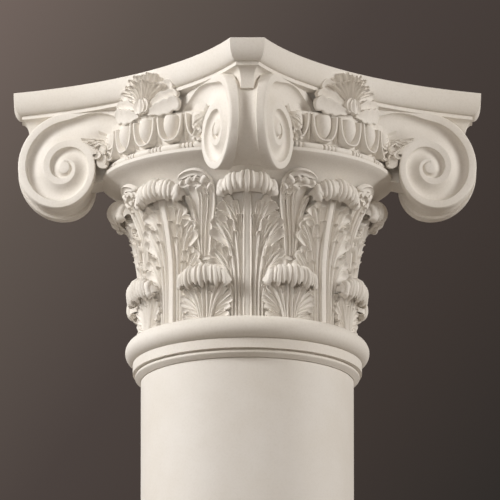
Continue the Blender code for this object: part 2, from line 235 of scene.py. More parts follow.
def newTree(name, sockets):
    tree = bpy.data.node_groups.new(name, "GeometryNodeTree")
    tree.interface.new_socket("Geometry", in_out="INPUT", socket_type="NodeSocketGeometry")
    for label, kind in sockets:
        tree.interface.new_socket(label, in_out="INPUT", socket_type=kind)
    tree.interface.new_socket("Geometry", in_out="OUTPUT", socket_type="NodeSocketGeometry")
    enter = tree.nodes.new("NodeGroupInput")
    leave = tree.nodes.new("NodeGroupOutput")
    return tree, enter, leave


def finishTree(tree, geometry, enter, leave):
    # Every tree ends in real geometry that carries its stone
    realize = tree.nodes.new("GeometryNodeRealizeInstances")
    paint = tree.nodes.new("GeometryNodeSetMaterial")
    tree.links.new(geometry, realize.inputs["Geometry"])
    tree.links.new(realize.outputs[0], paint.inputs["Geometry"])
    tree.links.new(enter.outputs["Stone"], paint.inputs["Material"])
    tree.links.new(paint.outputs[0], leave.inputs["Geometry"])
    return tree


def mathNode(tree, operation, first, second=None):
    made = addNode(tree, "ShaderNodeMath", operation=operation)
    for socket, value in zip(made.inputs, (first, second)):
        if isinstance(value, (int, float)):
            socket.default_value = value
        elif value is not None:
            tree.links.new(value, socket)
    return made.outputs[0]


def latheTree():
    # Turns a chain of profile points (radius in X, height in Z) round the column's axis
    tree, enter, leave = newTree("latheTree", [
        ("Profile Points", "NodeSocketInt"), ("Segments", "NodeSocketInt"), ("Stone", "NodeSocketMaterial"),
    ])
    nodes, links = tree.nodes, tree.links
    sheet = addNode(tree, "GeometryNodeMeshGrid", {"Size X": 1.0, "Size Y": 1.0})
    around = mathNode(tree, "ADD", enter.outputs["Segments"], 1)
    links.new(enter.outputs["Profile Points"], sheet.inputs["Vertices X"])
    links.new(around, sheet.inputs["Vertices Y"])
    where = nodes.new("GeometryNodeInputPosition")
    parts = nodes.new("ShaderNodeSeparateXYZ")
    links.new(where.outputs[0], parts.inputs[0])
    along = mathNode(tree, "MULTIPLY", mathNode(tree, "ADD", parts.outputs["X"], 0.5),
                     mathNode(tree, "SUBTRACT", enter.outputs["Profile Points"], 1))
    angle = mathNode(tree, "MULTIPLY", mathNode(tree, "ADD", parts.outputs["Y"], 0.5), math.tau)
    sample = addNode(tree, "GeometryNodeSampleIndex", data_type="FLOAT_VECTOR")
    links.new(enter.outputs["Geometry"], sample.inputs["Geometry"])
    links.new(where.outputs[0], sample.inputs["Value"])
    links.new(mathNode(tree, "ROUND", along), sample.inputs["Index"])
    profile = nodes.new("ShaderNodeSeparateXYZ")
    links.new(sample.outputs["Value"], profile.inputs[0])
    spot = nodes.new("ShaderNodeCombineXYZ")
    for function, axis in (("COSINE", "X"), ("SINE", "Y")):
        turned = mathNode(tree, "MULTIPLY", profile.outputs["X"], mathNode(tree, function, angle))
        links.new(turned, spot.inputs[axis])
    links.new(profile.outputs["Z"], spot.inputs["Z"])
    move = nodes.new("GeometryNodeSetPosition")
    links.new(sheet.outputs["Mesh"], move.inputs["Geometry"])
    links.new(spot.outputs[0], move.inputs["Position"])
    merge = addNode(tree, "GeometryNodeMergeByDistance", {"Distance": 0.00002})
    links.new(move.outputs[0], merge.inputs["Geometry"])
    return finishTree(tree, merge.outputs[0], enter, leave)


def ringTree():
    # Repeats the object's own mesh round the column, a set number of times from a first angle
    tree, enter, leave = newTree("ringTree", [
        ("Copies", "NodeSocketInt"), ("First Angle", "NodeSocketFloat"), ("Angle Step", "NodeSocketFloat"),
        ("Stone", "NodeSocketMaterial"),
    ])
    nodes, links = tree.nodes, tree.links
    spots = nodes.new("GeometryNodePoints")
    links.new(enter.outputs["Copies"], spots.inputs["Count"])
    index = nodes.new("GeometryNodeInputIndex")
    turn = mathNode(tree, "ADD", mathNode(tree, "MULTIPLY", index.outputs[0], enter.outputs["Angle Step"]),
                    enter.outputs["First Angle"])
    rotation = nodes.new("ShaderNodeCombineXYZ")
    links.new(turn, rotation.inputs["Z"])
    toRotation = nodes.new("FunctionNodeEulerToRotation")
    links.new(rotation.outputs[0], toRotation.inputs[0])
    copies = nodes.new("GeometryNodeInstanceOnPoints")
    links.new(spots.outputs[0], copies.inputs["Points"])
    links.new(enter.outputs["Geometry"], copies.inputs["Instance"])
    links.new(toRotation.outputs[0], copies.inputs["Rotation"])
    return finishTree(tree, copies.outputs[0], enter, leave)


lathe = latheTree()
ring = ringTree()


def throughTree(source, tree, values, name):
    # Sets the tree's inputs by their identifiers, then keeps the result as a plain mesh
    modifier = source.modifiers.new(tree.name, "NODES")
    modifier.node_group = tree
    for item in tree.interface.items_tree:
        if item.item_type == "SOCKET" and item.in_out == "INPUT" and item.name in values:
            modifier[item.identifier] = values[item.name]
    graph = bpy.context.evaluated_depsgraph_get()
    mesh = bpy.data.meshes.new_from_object(source.evaluated_get(graph))
    mesh.name = name
    bpy.data.objects.remove(source)
    return added(name, mesh)


def turnedPiece(name, profile, segments, material):
    points = [(radius, 0, height) for radius, height in profile]
    chain = bpy.data.meshes.new(name)
    chain.from_pydata(points, [(i, i + 1) for i in range(len(points) - 1)], [])
    source = added(name + ".profile", chain)
    values = {"Profile Points": len(points), "Segments": segments, "Stone": material}
    return tidyMesh(throughTree(source, lathe, values, name))


def ringPiece(source, name, copies, firstDegrees, stepDegrees, material=stone):
    values = {"Copies": copies, "First Angle": math.radians(firstDegrees),
              "Angle Step": math.radians(stepDegrees), "Stone": material}
    return throughTree(source, ring, values, name)


def settle(piece, *nodes):
    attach(piece, "root")
    if nodes:
        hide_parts(*nodes)
    piece.data.update()
    triangles = sum(len(face.vertices) - 2 for face in piece.data.polygons)
    print(piece.name, triangles, "triangles")
    return piece


# The turned core: necking, bell, bowl-shaped lip and the bed of the egg moulding

def coreProfile():
    beadRadius = necking["shaftRadius"] + necking["beadProud"]
    bandRadius = necking["shaftRadius"] + necking["bandProud"]
    bandLevel = capLow.z + necking["beadHeight"]
    torusLevel = bandLevel + necking["bandHeight"]
    half = necking["torusHeight"] / 2
    torusCentre = necking["shaftRadius"] + necking["torusProud"] - half
    bed, bedLevel = bell["echinusFoot"] - bell["bedInset"], abacusLevel + bell["bedRise"]
    profile = [(0.0, bedLevel), (bed, bedLevel), (bed, abacusLevel), (bell["echinusHead"], abacusLevel)]
    echinusRise = (bell["echinusHead"] - bell["echinusFoot"], abacusLevel - eggLevel)
    profile += arcPoints((bell["echinusFoot"], abacusLevel), echinusRise, -10, -90, 8)
    bedRadius = bell["lipRadius"] - bell["beadRowInset"]
    profile += [(bedRadius, eggLevel), (bedRadius, beadLevel), (bell["lipRadius"], beadLevel)]
    profile += [(bell["lipRadius"], beadLevel - 0.0008), (bell["lipRadius"], lipLevel + 0.0022)]
    bowl = [(radius, lipLevel + up) for radius, up in bell["bowl"]] + [(bellRadius, torusTop - 0.002)]
    profile += [tuple(p) for p in curveThrough(bowl, 48)]
    profile += arcPoints((torusCentre, torusLevel + half), (half, half), 84, -84, 22)
    profile += [(bandRadius, torusLevel), (bandRadius, bandLevel + 0.0002), (beadRadius - 0.0012, bandLevel)]
    beadCentre = (necking["shaftRadius"] + 0.0005, capLow.z + necking["beadHeight"] * 0.56)
    beadSize = (necking["beadProud"] - 0.0005, necking["beadHeight"] * 0.44)
    profile += arcPoints(beadCentre, beadSize, 62, -20, 8)
    profile.append((necking["shaftRadius"] + 0.0022, capLow.z + 0.0012))
    return profile + [(necking["shaftRadius"] + 0.0012, capLow.z), (0.0, capLow.z)]


core = turnedPiece("turned_core", coreProfile(), necking["segments"], stone)
settle(core, "capital")

shaftRadius, shaftArris = necking["shaftRadius"], 0.001
shaftProfile = [
    (0.0, shaftHigh.z), (shaftRadius - shaftArris, shaftHigh.z), (shaftRadius, shaftHigh.z - shaftArris),
    (shaftRadius, shaftHigh.z / 2), (shaftRadius, shaftLow.z), (0.0, shaftLow.z),
]
shaft = turnedPiece("shaft_plain", shaftProfile, necking["segments"], shaftStone)
settle(shaft, "shaft_head")
print("turned core and shaft done")


# Abacus: four hollow sides and four cut corners under an ovolo, fillet and cavetto

abacus = {
    "cornerReach": 0.3305,
    "cornerWidth": 0.0488,
    "middleReach": 0.2034,
    "ovoloDepth": 0.0122,
    "ovoloHeight": 0.0314,
    "plainFace": 0.0040,  # upright part of the ovolo
    "filletHeight": 0.0057,
    "cavettoDepth": 0.0100,
    "uprightShare": 0.40,  # of the cavetto's height, below its curve
    "hollow": 0.0065,  # how much deeper the cavetto is between the corners
    "hollowStart": 0.0030,  # how far below the fillet it reaches its depth
    "arris": 0.0008,
    "sideSteps": 44,
}


def abacusOutline(inset, hollow=0.0):
    half = abacus["cornerWidth"] / 2
    cornerOut = (abacus["cornerReach"] + half) / math.sqrt(2)
    cornerSide = (abacus["cornerReach"] - half) / math.sqrt(2)
    rise = cornerOut - abacus["middleReach"]
    sweep = (cornerSide**2 + rise**2) / (2 * rise)
    centre = abacus["middleReach"] + sweep
    across = (abacus["cornerReach"] - inset) * math.sqrt(2) - centre
    endSide = (across + math.sqrt(2 * (sweep + inset) ** 2 - across**2)) / 2
    outline = []
    for quarter in range(4):
        turn = math.radians(90 * quarter)
        for side in np.linspace(-endSide, endSide, abacus["sideSteps"] + 1):
            out = centre - math.sqrt((sweep + inset) ** 2 - side**2) - hollow * (1 - (side / endSide) ** 6)
            outline.append((out * math.cos(turn) - side * math.sin(turn),
                            out * math.sin(turn) + side * math.cos(turn)))
    return outline


def abacusPiece():
    top = capHigh.z
    filletTop = top - abacus["ovoloHeight"]
    filletFoot = filletTop - abacus["filletHeight"]
    deep, arris = abacus["ovoloDepth"], abacus["arris"]
    levels = [(arris, top, 0.0), (0.0, top - arris, 0.0), (0.0, top - abacus["plainFace"], 0.0)]
    roundHeight = abacus["ovoloHeight"] - abacus["plainFace"]
    for x, z in arcPoints((-deep, 0), (deep, -roundHeight), 8, 88, 9):
        levels.append((-x, top - abacus["plainFace"] + z, 0.0))
    levels += [(deep + arris / 2, filletTop, 0.0), (deep, filletTop - arris / 2, 0.0)]
    levels.append((deep, filletFoot + arris / 2, 0.0))
    coveFoot = abacusLevel + (filletFoot - abacusLevel) * abacus["uprightShare"]
    for x, z in arcPoints((-deep, coveFoot), (-abacus["cavettoDepth"], filletFoot - coveFoot), 84, 0, 10):
        levels.append((-x, z, abacus["hollow"] * min(1.0, (filletFoot - z) / abacus["hollowStart"])))
    levels.append((deep + abacus["cavettoDepth"], abacusLevel, abacus["hollow"]))
    points = []
    for inset, level, hollow in levels:
        points += [(x, y, level) for x, y in abacusOutline(inset, hollow)]
    faces = tubeFaces(len(levels), len(points) // len(levels))
    made = tidyMesh(meshObject("abacus", points, faces), smoothDegrees=30)
    made.data.materials.append(stone)
    return made


settle(abacusPiece(), "capital")
print("abacus done")


# Scrolls: one spiral band drawn on two planes that close in towards the corner

scroll = {
    "eyeReach": 0.2585,
    "eyeSide": 0.0446,
    "eyeBelowAbacus": 0.0465,
    "topRadius": 0.0795,
    "shrink": 0.149,  # share of the top radius lost in a quarter turn
    "shrinkEasing": 0.0052,
    "rootSpread": 0.45,  # how far the band runs wide behind its top, and how soon
    "rootSpan": 0.475,
    "headings": ((-0.120, 47.0), (-0.098, 45.0), (-0.074, 26.0), (-0.012, 25.3), (0.012, 17.5), (0.09, 17.5)),
    "dive": (0.026, 0.048),  # behind the eye the channel's floor sinks behind the eggs, to this radius
    "diveRadius": 0.2035,
    "diveTop": (0.003, 0.008),  # how far over the abacus's underside it starts, and the drop to its full depth
    "diveEdge": 0.3,  # share of the channel's width over which it ends at the inner turn
    "rootQuarters": 0.80,
    "quarters": 8.0,
    "rimWidth": 0.0112,
    "rimSlims": (0.70, 0.30),  # the share of it that stays, and the share that goes with the radius
    "channelDepth": 0.0092,
    "depthSlims": (0.34, 0.80),
    "depthFade": 1.2,  # quarters over which the channel fades out at the knob
    "chamfer": 0.0012,
    "knobRadius": 0.0080,
    "stepsPerQuarter": 16,
    "channel": (  # share of the way from the rim to the next turn, and share of the depth
        (0.0, 0.06), (0.022, 0.38), (0.06, 0.62), (0.13, 0.83), (0.24, 0.97), (0.37, 1.0), (0.50, 0.93),
        (0.63, 0.77), (0.75, 0.55), (0.86, 0.31), (0.95, 0.10), (1.0, 0.0),
    ),
    "beltStep": 0.0034,  # down from the flat bands at a belt's edges to the cove between them
    "beltCove": 0.0034,
    "neckHalfWidth": 0.028,  # of the stone that ties the scroll's back to the bell
    "neck": (  # its section: out from the axis, above the eye
        (0.190, 0.010), (0.224, 0.010), (0.219, -0.002), (0.2215, -0.012), (0.2255, -0.0190),
        (0.214, -0.0185), (0.200, -0.0155), (0.190, -0.0155),
    ),
}


def spiralRadius(quarters):
    shrink = scroll["shrink"] * quarters - scroll["shrinkEasing"] * quarters * abs(quarters)
    spread = scroll["rootSpread"] * (1 - math.exp(-((max(-quarters, 0) / scroll["rootSpan"]) ** 2)))
    radius = scroll["topRadius"] * (1 - shrink) * (1 + spread)
    return max(radius, scroll["knobRadius"]) if quarters > 7 else radius


# Plan of a scroll face: distances along it from the eye, and how far each has come out and aside.
# Behind the eye the face bends round to meet the hollow under the abacus.
faceStep = 0.0005
faceRun = np.arange(-0.130, 0.0901, faceStep)
faceHeading = np.radians(np.interp(faceRun, *zip(*scroll["headings"])))
faceOut = np.cumsum(np.cos(faceHeading)) * faceStep
faceAside = -np.cumsum(np.sin(faceHeading)) * faceStep
faceOut -= np.interp(0, faceRun, faceOut)
faceAside -= np.interp(0, faceRun, faceAside)


def facePoint(along, height, depth, side):
    # A point of one scroll face on the +X corner: along it from the eye, above the eye, sunk by a depth
    heading = float(np.interp(along, faceRun, faceHeading))
    reach = scroll["eyeReach"] + float(np.interp(along, faceRun, faceOut)) - depth * math.sin(heading)
    aside = scroll["eyeSide"] + float(np.interp(along, faceRun, faceAside)) - depth * math.cos(heading)
    return (reach, side * aside, abacusLevel - scroll["eyeBelowAbacus"] + height)


def scrollSpot(quarters, radius, depth, side):
    angle = quarters * math.pi / 2
    return facePoint(radius * math.sin(angle), radius * math.cos(angle), depth, side)


def floorSpot(quarters, radius, depth, side, share):
    # A spot of the channel. Under the abacus it dives behind the outer eggs, but not beside the inner turn
    spot = scrollSpot(quarters, radius, depth, side)
    behind = -radius * math.sin(quarters * math.pi / 2)
    first, last = scroll["dive"]
    above, drop = scroll["diveTop"]
    sink = clamp((behind - first) / (last - first)) * min(1.0, (1 - share) / scroll["diveEdge"])
    sink *= clamp((abacusLevel + above - spot[2]) / drop)
    if quarters > 0 or sink <= 0:
        return spot
    out = math.hypot(spot[0], spot[1])
    scale = 1 + smooth(sink) * (min(out, scroll["diveRadius"]) / out - 1)
    return (spot[0] * scale, spot[1] * scale, spot[2])


def scrollPiece():
    channel = scroll["channel"]
    steps = round((scroll["quarters"] + scroll["rootQuarters"]) * scroll["stepsPerQuarter"])
    turns = [i / scroll["stepsPerQuarter"] - scroll["rootQuarters"] for i in range(steps + 1)]
    points, faces, rims = [], [], {}
    rimStays, rimGoes = scroll["rimSlims"]
    depthStays, depthGoes = scroll["depthSlims"]
    for side in (1, -1):
        start = len(points)
        for k in turns:
            outer, inner = spiralRadius(k), spiralRadius(k + 4)
            band = outer - inner
            rim = min(band * 0.55, scroll["rimWidth"] * (rimStays + rimGoes * outer / scroll["topRadius"]))
            size = min(1.0, depthStays + depthGoes * outer / scroll["topRadius"])
            depth = scroll["channelDepth"] * size * clamp((turns[-1] - k) / scroll["depthFade"])
            chamfer = scroll["chamfer"] if k < 4 - scroll["rootQuarters"] else 0.0
            spots = [(outer, chamfer), (outer - rim * 0.06, chamfer / 4), (outer - rim * 0.16, 0.0),
                     (outer - rim * 0.92, 0.0), (outer - rim * 0.985, 0.0001)]
            points += [scrollSpot(k, radius, deep, side) for radius, deep in spots]
            points += [floorSpot(k, outer - rim - (band - rim) * share, depth * deep, side, share)
                       for share, deep in channel]
        columns = len(spots) + len(channel)
        faces += gridFaces(len(turns), columns, start)
        # The knob in the middle is a low dome over the last turn
        knob, knobRings = len(points), 5
        turnSteps = 4 * scroll["stepsPerQuarter"]
        for ringIndex in range(knobRings):
            share = 1 - ringIndex / knobRings
            for j in range(turnSteps):
                row = len(turns) - 1 - turnSteps + j
                lift = -0.0008 * math.sqrt(1 - share**2)
                inner = spiralRadius(turns[row] + 4)
                points.append(scrollSpot(turns[row], inner * share, lift, side))
        faces += gridFaces(knobRings, turnSteps, knob, wrap=True)
        faces.append(tuple(knob + (knobRings - 1) * turnSteps + j for j in range(turnSteps)))
        last = start + (len(turns) - 1) * columns  # the band's end, where it meets the knob
        faces.append(tuple(last + j for j in range(columns)) + (last - 1,))
        rims[side] = [start + i * columns for i in range(turnSteps + 1)]
        rims[side] += [start + j for j in range(columns - 2, 0, -1)]
    # The belt between the two faces: a flat band at each edge and a cove between them
    eyeHeight = abacusLevel - scroll["eyeBelowAbacus"]
    step, cove = scroll["beltStep"], scroll["beltCove"]
    belt = [(0.98, -0.0006), (0.78, -0.0006), (0.770, -0.0002), (0.760, step)]
    belt += [(0.75 - 0.50 * t, step + cove * math.sin(math.pi * t) ** 0.7) for t in np.linspace(0, 1, 9)]
    belt += [(0.240, step), (0.230, -0.0002), (0.22, -0.0006), (0.02, -0.0006)]
    around = len(rims[1])
    columnsStart = len(points)
    for share, hollow in belt:
        for i in range(around):
            near, far = np.array(points[rims[-1][i]]), np.array(points[rims[1][i]])
            spot = near + (far - near) * share
            towards = np.array((scroll["eyeReach"], spot[1], eyeHeight)) - spot
            points.append(tuple(spot + towards / np.linalg.norm(towards) * hollow))
    beltRows = [range(columnsStart + r * around, columnsStart + (r + 1) * around) for r in range(len(belt))]
    rings = [rims[1], *beltRows, rims[-1]]
    for near, far in zip(rings, rings[1:]):
        for i in range(around):
            j = (i + 1) % around
            faces.append((near[i], near[j], far[j], far[i]))
    neckStart, corners = len(points), len(scroll["neck"])
    for aside in (-scroll["neckHalfWidth"], scroll["neckHalfWidth"]):
        points += [(out, aside, eyeHeight + up) for out, up in scroll["neck"]]
    faces += tubeFaces(2, corners, neckStart)
    return tidyMesh(meshObject("scroll_source", points, faces), smoothDegrees=32)


settle(ringPiece(scrollPiece(), "scrolls", 4, 45, 90), "capital")
print("scrolls done")


# Leaf carving. A leaf is drawn flat, in metres across (x), up its length (y) and off its skin (h),
# then laid on its own curved skin on the +X side.

def spline(points, t):
    # Bezier curve of any degree at an array of parameters
    levels = [np.outer(np.ones_like(t), p) for p in np.array(points, dtype=float)]
    while len(levels) > 1:
        levels = [a + (b - a) * t[:, None] for a, b in zip(levels, levels[1:])]
    return levels[0]


# Cross sections of a strip: shares of the way from its middle to its edge, and heights as shares of its relief
spoonShape = ((0.0, 0.35, 0.62, 0.80, 0.90, 0.97, 1.0), (-1.0, -0.85, -0.38, 0.0, -0.15, -0.95, -1.9))
fluteShape = ((0.0, 0.30, 0.55, 0.75, 0.90, 1.0), (0.0, -0.14, -0.50, -1.0, -1.60, -2.2))
ribShape = ((0.0, 0.30, 0.55, 0.75, 0.90, 1.0), (0.0, -0.10, -0.36, -0.70, -1.15, -1.7))


def strip(path, width, lift=(0.001, 0.003), relief=0.0014, root=0.45, tip=0.30, shape=spoonShape,
          steps=12, across=11, swell=0.75, flick=0.0, scallops=0, notch=0.22, tilt=0.0):
    # One leaflet or rib: a closed ribbon along a path, hollowed or ridged across, rounded at its tip
    body = np.linspace(0, 1 - tip, max(3, round(steps * 0.6)), endpoint=False)
    end = 1 - tip + tip * np.sin(np.linspace(0, 1, max(4, round(steps * 0.55))) * math.pi / 2 * 0.985)
    t = np.concatenate([body, end])
    line = spline(path, t)
    ahead = np.gradient(line, axis=0)
    ahead /= np.maximum(np.linalg.norm(ahead, axis=1), 1e-9)[:, None]
    aside = np.stack([ahead[:, 1], -ahead[:, 0]], axis=1)
    grow = np.clip(t / swell, 0, 1)
    wide = width * (root + (1 - root) * grow * grow * (3 - 2 * grow))
    if scallops:  # rounded teeth along both edges
        wide = wide * (1 - notch * (1 - np.abs(np.sin(t * math.pi * scallops))) * np.clip(t * 3, 0, 1))
    late = np.clip((t - (1 - tip)) / tip, 0, 1)
    roundness = np.sqrt(np.maximum(1 - late**2, 0))
    c = np.sin(np.linspace(-1, 1, across) * math.pi / 2)
    cupped = late if shape is spoonShape else 0 * late
    q = np.sqrt((c[None, :] * roundness[:, None]) ** 2 + cupped[:, None] ** 2)
    q = np.clip(q, 0, 1)
    height = lift[0] + (lift[1] - lift[0]) * t + flick * np.clip((t - 0.6) / 0.4, 0, 1) ** 2
    full = np.minimum(1.0, wide / width + 0.15)
    h = height[:, None] + relief * full[:, None] * np.interp(q, shape[0], shape[1])
    h = h - tilt * full[:, None] * c[None, :]
    spread = c[None, :] * (wide * roundness)[:, None]
    x = line[:, 0:1] + aside[:, 0:1] * spread
    y = line[:, 1:2] + aside[:, 1:2] * spread
    points = np.stack([x, y, h], axis=2).reshape(-1, 3)
    rows = len(t)
    # The underside is a second, narrower row that closes the ribbon below the skin
    under = np.stack([x[:, [0, -1]] * 0.9 + line[:, 0:1] * 0.1, y[:, [0, -1]] * 0.9 + line[:, 1:2] * 0.1,
                      np.repeat(height[:, None] - relief * 3.2 - 0.0012, 2, axis=1)], axis=2)
    ringsOfPoints = np.concatenate([points.reshape(rows, across, 3), under[:, ::-1, :]], axis=1)
    return ringsOfPoints.reshape(-1, 3), tubeFaces(rows, across + 2)


def rib(path, width, across=7, **strokes):
    return strip(path, width, shape=ribShape, across=across, **strokes)


def fan(foot, tips, widths, bundle=0.45, **strokes):
    # Leaflets that leave one root side by side and bend out to their own tips, given from that root
    made = []
    low, high = strokes.pop("lift", (0.001, 0.003))
    for i, (aside, up) in enumerate(tips):
        share = i / (len(tips) - 1)
        width = widths[0] + (widths[1] - widths[0]) * share
        spot = (foot[0] + aside, foot[1] + up)
        bend = (foot[0] + aside * 0.10, foot[1] + up * bundle)
        late = (foot[0] + aside * 0.72, foot[1] + up * 0.80)
        lift = (low, high + 0.0006 * (i % 2) + 0.0008 * share)
        tip = min(0.4, 1.05 * width / math.hypot(aside, up))
        made.append(strip([foot, bend, late, spot], width, lift=lift, tip=tip, **strokes))
    return made


def flipped(strips):
    return [(points * np.array((-1, 1, 1)), [tuple(reversed(f)) for f in faces]) for points, faces in strips]


def joined(strips):
    points, faces, start = [], [], 0
    for spots, patch in strips:
        points.append(spots)
        faces += [tuple(i + start for i in face) for face in patch]
        start += len(spots)
    return np.concatenate(points), faces


def leafSkin(own):
    # Lays flat leaf drawing on the skin of revolution of a middle line. Towards the sides the skin drops
    # and draws back like the shell of an egg, so that a rolled head closes at its ends.
    droop, crown = own["droop"], own["crown"]
    middle = curveThrough([(bellRadius + off, torusTop + up) for off, up in own["line"]], 240)
    arc = lengthAlong(middle)
    step = 0.0002

    def base(x, y):
        radius = np.interp(y, arc, middle[:, 0])
        share = np.clip(np.abs(x) / own["halfWidth"], 0, 0.9995)
        fall = 1 - np.sqrt(1 - share**2)
        height = np.interp(y, arc, middle[:, 1]) - np.interp(y, droop[0], droop[1]) * fall
        turn = x / radius
        radius = radius - np.interp(y, crown[0], crown[1]) * fall
        return np.stack([radius * np.cos(turn), radius * np.sin(turn), height], axis=1)

    def lay(points):
        x, h = points[:, 0], points[:, 2]
        y = np.clip(points[:, 1], step, arc[-1] - step)
        aside = base(x + step, y) - base(x - step, y)
        ahead = base(x, y + step) - base(x, y - step)
        ahead /= np.maximum(np.linalg.norm(ahead, axis=1), 1e-12)[:, None]
        front = np.cross(aside, ahead)
        front /= np.maximum(np.linalg.norm(front, axis=1), 1e-12)[:, None]
        return base(x, y) + ahead * (points[:, 1] - y)[:, None] + front * h[:, None]

    return lay, arc[-1]


def sheet(outline, thickness, rows=40, across=15):
    # The leaf's plain ground, closed front and back: half widths are given up the leaf's length
    y = np.linspace(outline[0][0], outline[-1][0], rows)
    half = np.interp(y, [p[0] for p in outline], [p[1] for p in outline])
    c = np.sin(np.linspace(-1, 1, across) * math.pi / 2)
    x = half[:, None] * c[None, :]
    edge = np.sqrt(np.maximum(1 - c**2, 0))[None, :] ** 0.5
    top = np.stack([x, np.repeat(y[:, None], across, 1), thickness * (edge - 1) * np.ones_like(x)], axis=2)
    low = np.stack([x, np.repeat(y[:, None], across, 1), -thickness * (1 + 0 * x)], axis=2)[:, ::-1]
    loop = np.concatenate([top, low[:, 1:-1]], axis=1)
    return loop.reshape(-1, 3), tubeFaces(rows, loop.shape[1])


def laid(name, strips, lay, weld=0.00001, smoothDegrees=42):
    points, faces = joined(strips)
    return tidyMesh(meshObject(name, lay(points), faces), weld, smoothDegrees)


px = 0.0014124  # one photograph pixel at the axis, the unit in which the carving was measured

upperLeaf = {
    "line": ((0.002, -0.004), (0.002, 0.030), (0.002, 0.060), (0.003, 0.088), (0.0065, 0.113),
             (0.0110, 0.137), (0.0160, 0.157), (0.0210, 0.1745), (0.0258, 0.1870), (0.0315, 0.1957),
             (0.0380, 0.1982), (0.0430, 0.1942), (0.0450, 0.1882), (0.0440, 0.1830), (0.0405, 0.1795),
             (0.0355, 0.1785)),
    "halfWidth": 0.0420,
    "droop": (  # places up the leaf's length, and how far its sides drop there
        (0.0, 0.150, 0.185, 0.207, 0.222, 0.243, 0.258),
        (0.0, 0.0, 0.012, 0.0250, 0.0230, 0.0060, 0.0),
    ),
    "crown": (  # places again, and how far the sides draw back
        (0.0, 0.10, 0.18, 0.205, 0.225, 0.245, 0.258),
        (0.0, 0.001, 0.004, 0.010, 0.016, 0.012, 0.006),
    ),
    "ground": ((0.0, 0.028), (0.05, 0.032), (0.085, 0.034), (0.11, 0.037), (0.14, 0.036), (0.165, 0.033),
               (0.185, 0.036), (0.197, 0.0418), (0.215, 0.0418), (0.230, 0.0416), (0.238, 0.039),
               (0.242, 0.034)),
    "thickness": 0.0042,
    "lobes": (  # root across and up, then the tips of its leaflets from there, in pixels, inner ones first
        ((-7.8, 0.121), ((0.0, 22), (-5.0, 36), (-13, 42), (-20.5, 37), (-23.5, 25))),
        ((-11.8, 0.092), ((0.0, 25), (-5.5, 37), (-14, 41), (-22.5, 38), (-24.5, 27))),
        ((-16.0, 0.062), ((-1, 21), (-6.0, 31), (-13.0, 34), (-19.5, 28), (-21.5, 18))),
        ((-14.0, 0.020), ((-3, 22), (-10, 31), (-16.5, 31), (-23, 20))),
    ),
    "stretch": 1.02,  # of the leaflets, up the leaf
    "leafletWidths": (3.3, 5.9),
    "leaflet": {"lift": (0.0020, 0.0054), "relief": 0.0038, "root": 0.34, "flick": 0.0042},
    "ribs": ((-7.6, 0.118, -16, 40), (-11.2, 0.088, -19, 38), (-14.8, 0.056, -17, 30)),
    "midrib": (3.6, 0.198),  # half width in pixels, and where it ends
    "flutes": 13,
    "fluteFoot": 0.186,
    "gather": 0.42,  # width of the flutes' feet, as a share of their spread over the crest
    "eyeGap": 0.0018,
    "shorter": 0.0052,  # how far the side flutes of a group of three stop above the middle one
    "crest": 0.207,
}


def headFlutes(own, length):
    # Convex flutes on the back of the rolled head, which is the side that shows: they gather behind the
    # crest, spread over it and end in scallops under the lip, in groups with a drilled eye between them
    made = []
    count, foot, gather, crest = own["flutes"], own["fluteFoot"], own["gather"], own["crest"]
    reach = own["halfWidth"] * 0.955
    bow = 0.86  # at 1 the outermost flutes would stand on edge
    for i in range(count):
        share = 2 * i / (count - 1) - 1
        x = reach * math.sin(share * math.pi / 2 * bow) / math.sin(math.pi / 2 * bow)
        place = i - (count - 1) / 2
        inGroup = abs(place) % 3  # 0 is the middle of a group of three
        apart = own["eyeGap"] * (-1 if inGroup == 1 else 1 if inGroup == 2 else 0) * np.sign(place)
        end = length - 0.001 - 0.006 * share**2 - (0.0 if inGroup == 0 else own["shorter"])
        path = [(x * gather, foot), (x * (gather + 0.22) + apart * 0.5, foot + (crest - foot) * 0.5),
                (x * 0.97 + apart * 1.6, crest), (x + apart * 1.2, crest * 0.5 + length * 0.5),
                (x * 0.93, end)]
        width = reach / count * (1.42 if inGroup == 0 else 1.16) * (1 - 0.16 * abs(share) ** 3)
        high = 0.0040 if inGroup == 0 else 0.0024
        made.append(strip(path, width, lift=(0.0016, high), relief=0.0022, root=0.75, tip=0.12,
                          shape=fluteShape, steps=26, across=9))
    back = np.array((1, 1, -1))
    return [(points * back - np.array((0, 0, own["thickness"])), faces) for points, faces in made]


def lobeFans(own):
    widths = [width * px for width in own["leafletWidths"]]
    strips = []
    for (across, up), tips in own["lobes"]:
        spots = [(x * px, y * px * own["stretch"]) for x, y in tips]
        strips += fan((across * px, up), spots, widths, **own["leaflet"])
    return strips


def upperLeafStrips(length):
    own = upperLeaf
    strips = lobeFans(own)
    # Ribs that climb beside the midrib and turn out along each lobe
    for x, turnAt, out, up in own["ribs"]:
        path = [(x * px, 0.002), (x * px, turnAt * 0.55), (x * px, turnAt + 6 * px),
                ((x + out * 0.45) * px, turnAt + up * 0.62 * px), ((x + out) * px, turnAt + up * px)]
        strips.append(rib(path, 1.45 * px, lift=(0.0038, 0.0056), relief=0.0016, root=0.9, tip=0.10, steps=26))
    x, top = own["midrib"]
    path = [(-x * px, 0.0), (-x * px, 0.10), (-x * 0.9 * px, top)]
    strips.append(rib(path, 0.9 * px, lift=(0.0062, 0.0054), relief=0.0014, root=0.9, tip=0.05, steps=26))
    strips += flipped(strips)
    path = [(0, 0.0), (0, 0.1), (0, top)]
    strips.append(rib(path, 3.4 * px, lift=(0.0050, 0.0042), relief=0.0004, root=1, tip=0.04, steps=24))
    strips += headFlutes(own, length)
    strips.append(sheet(own["ground"], own["thickness"]))
    return strips


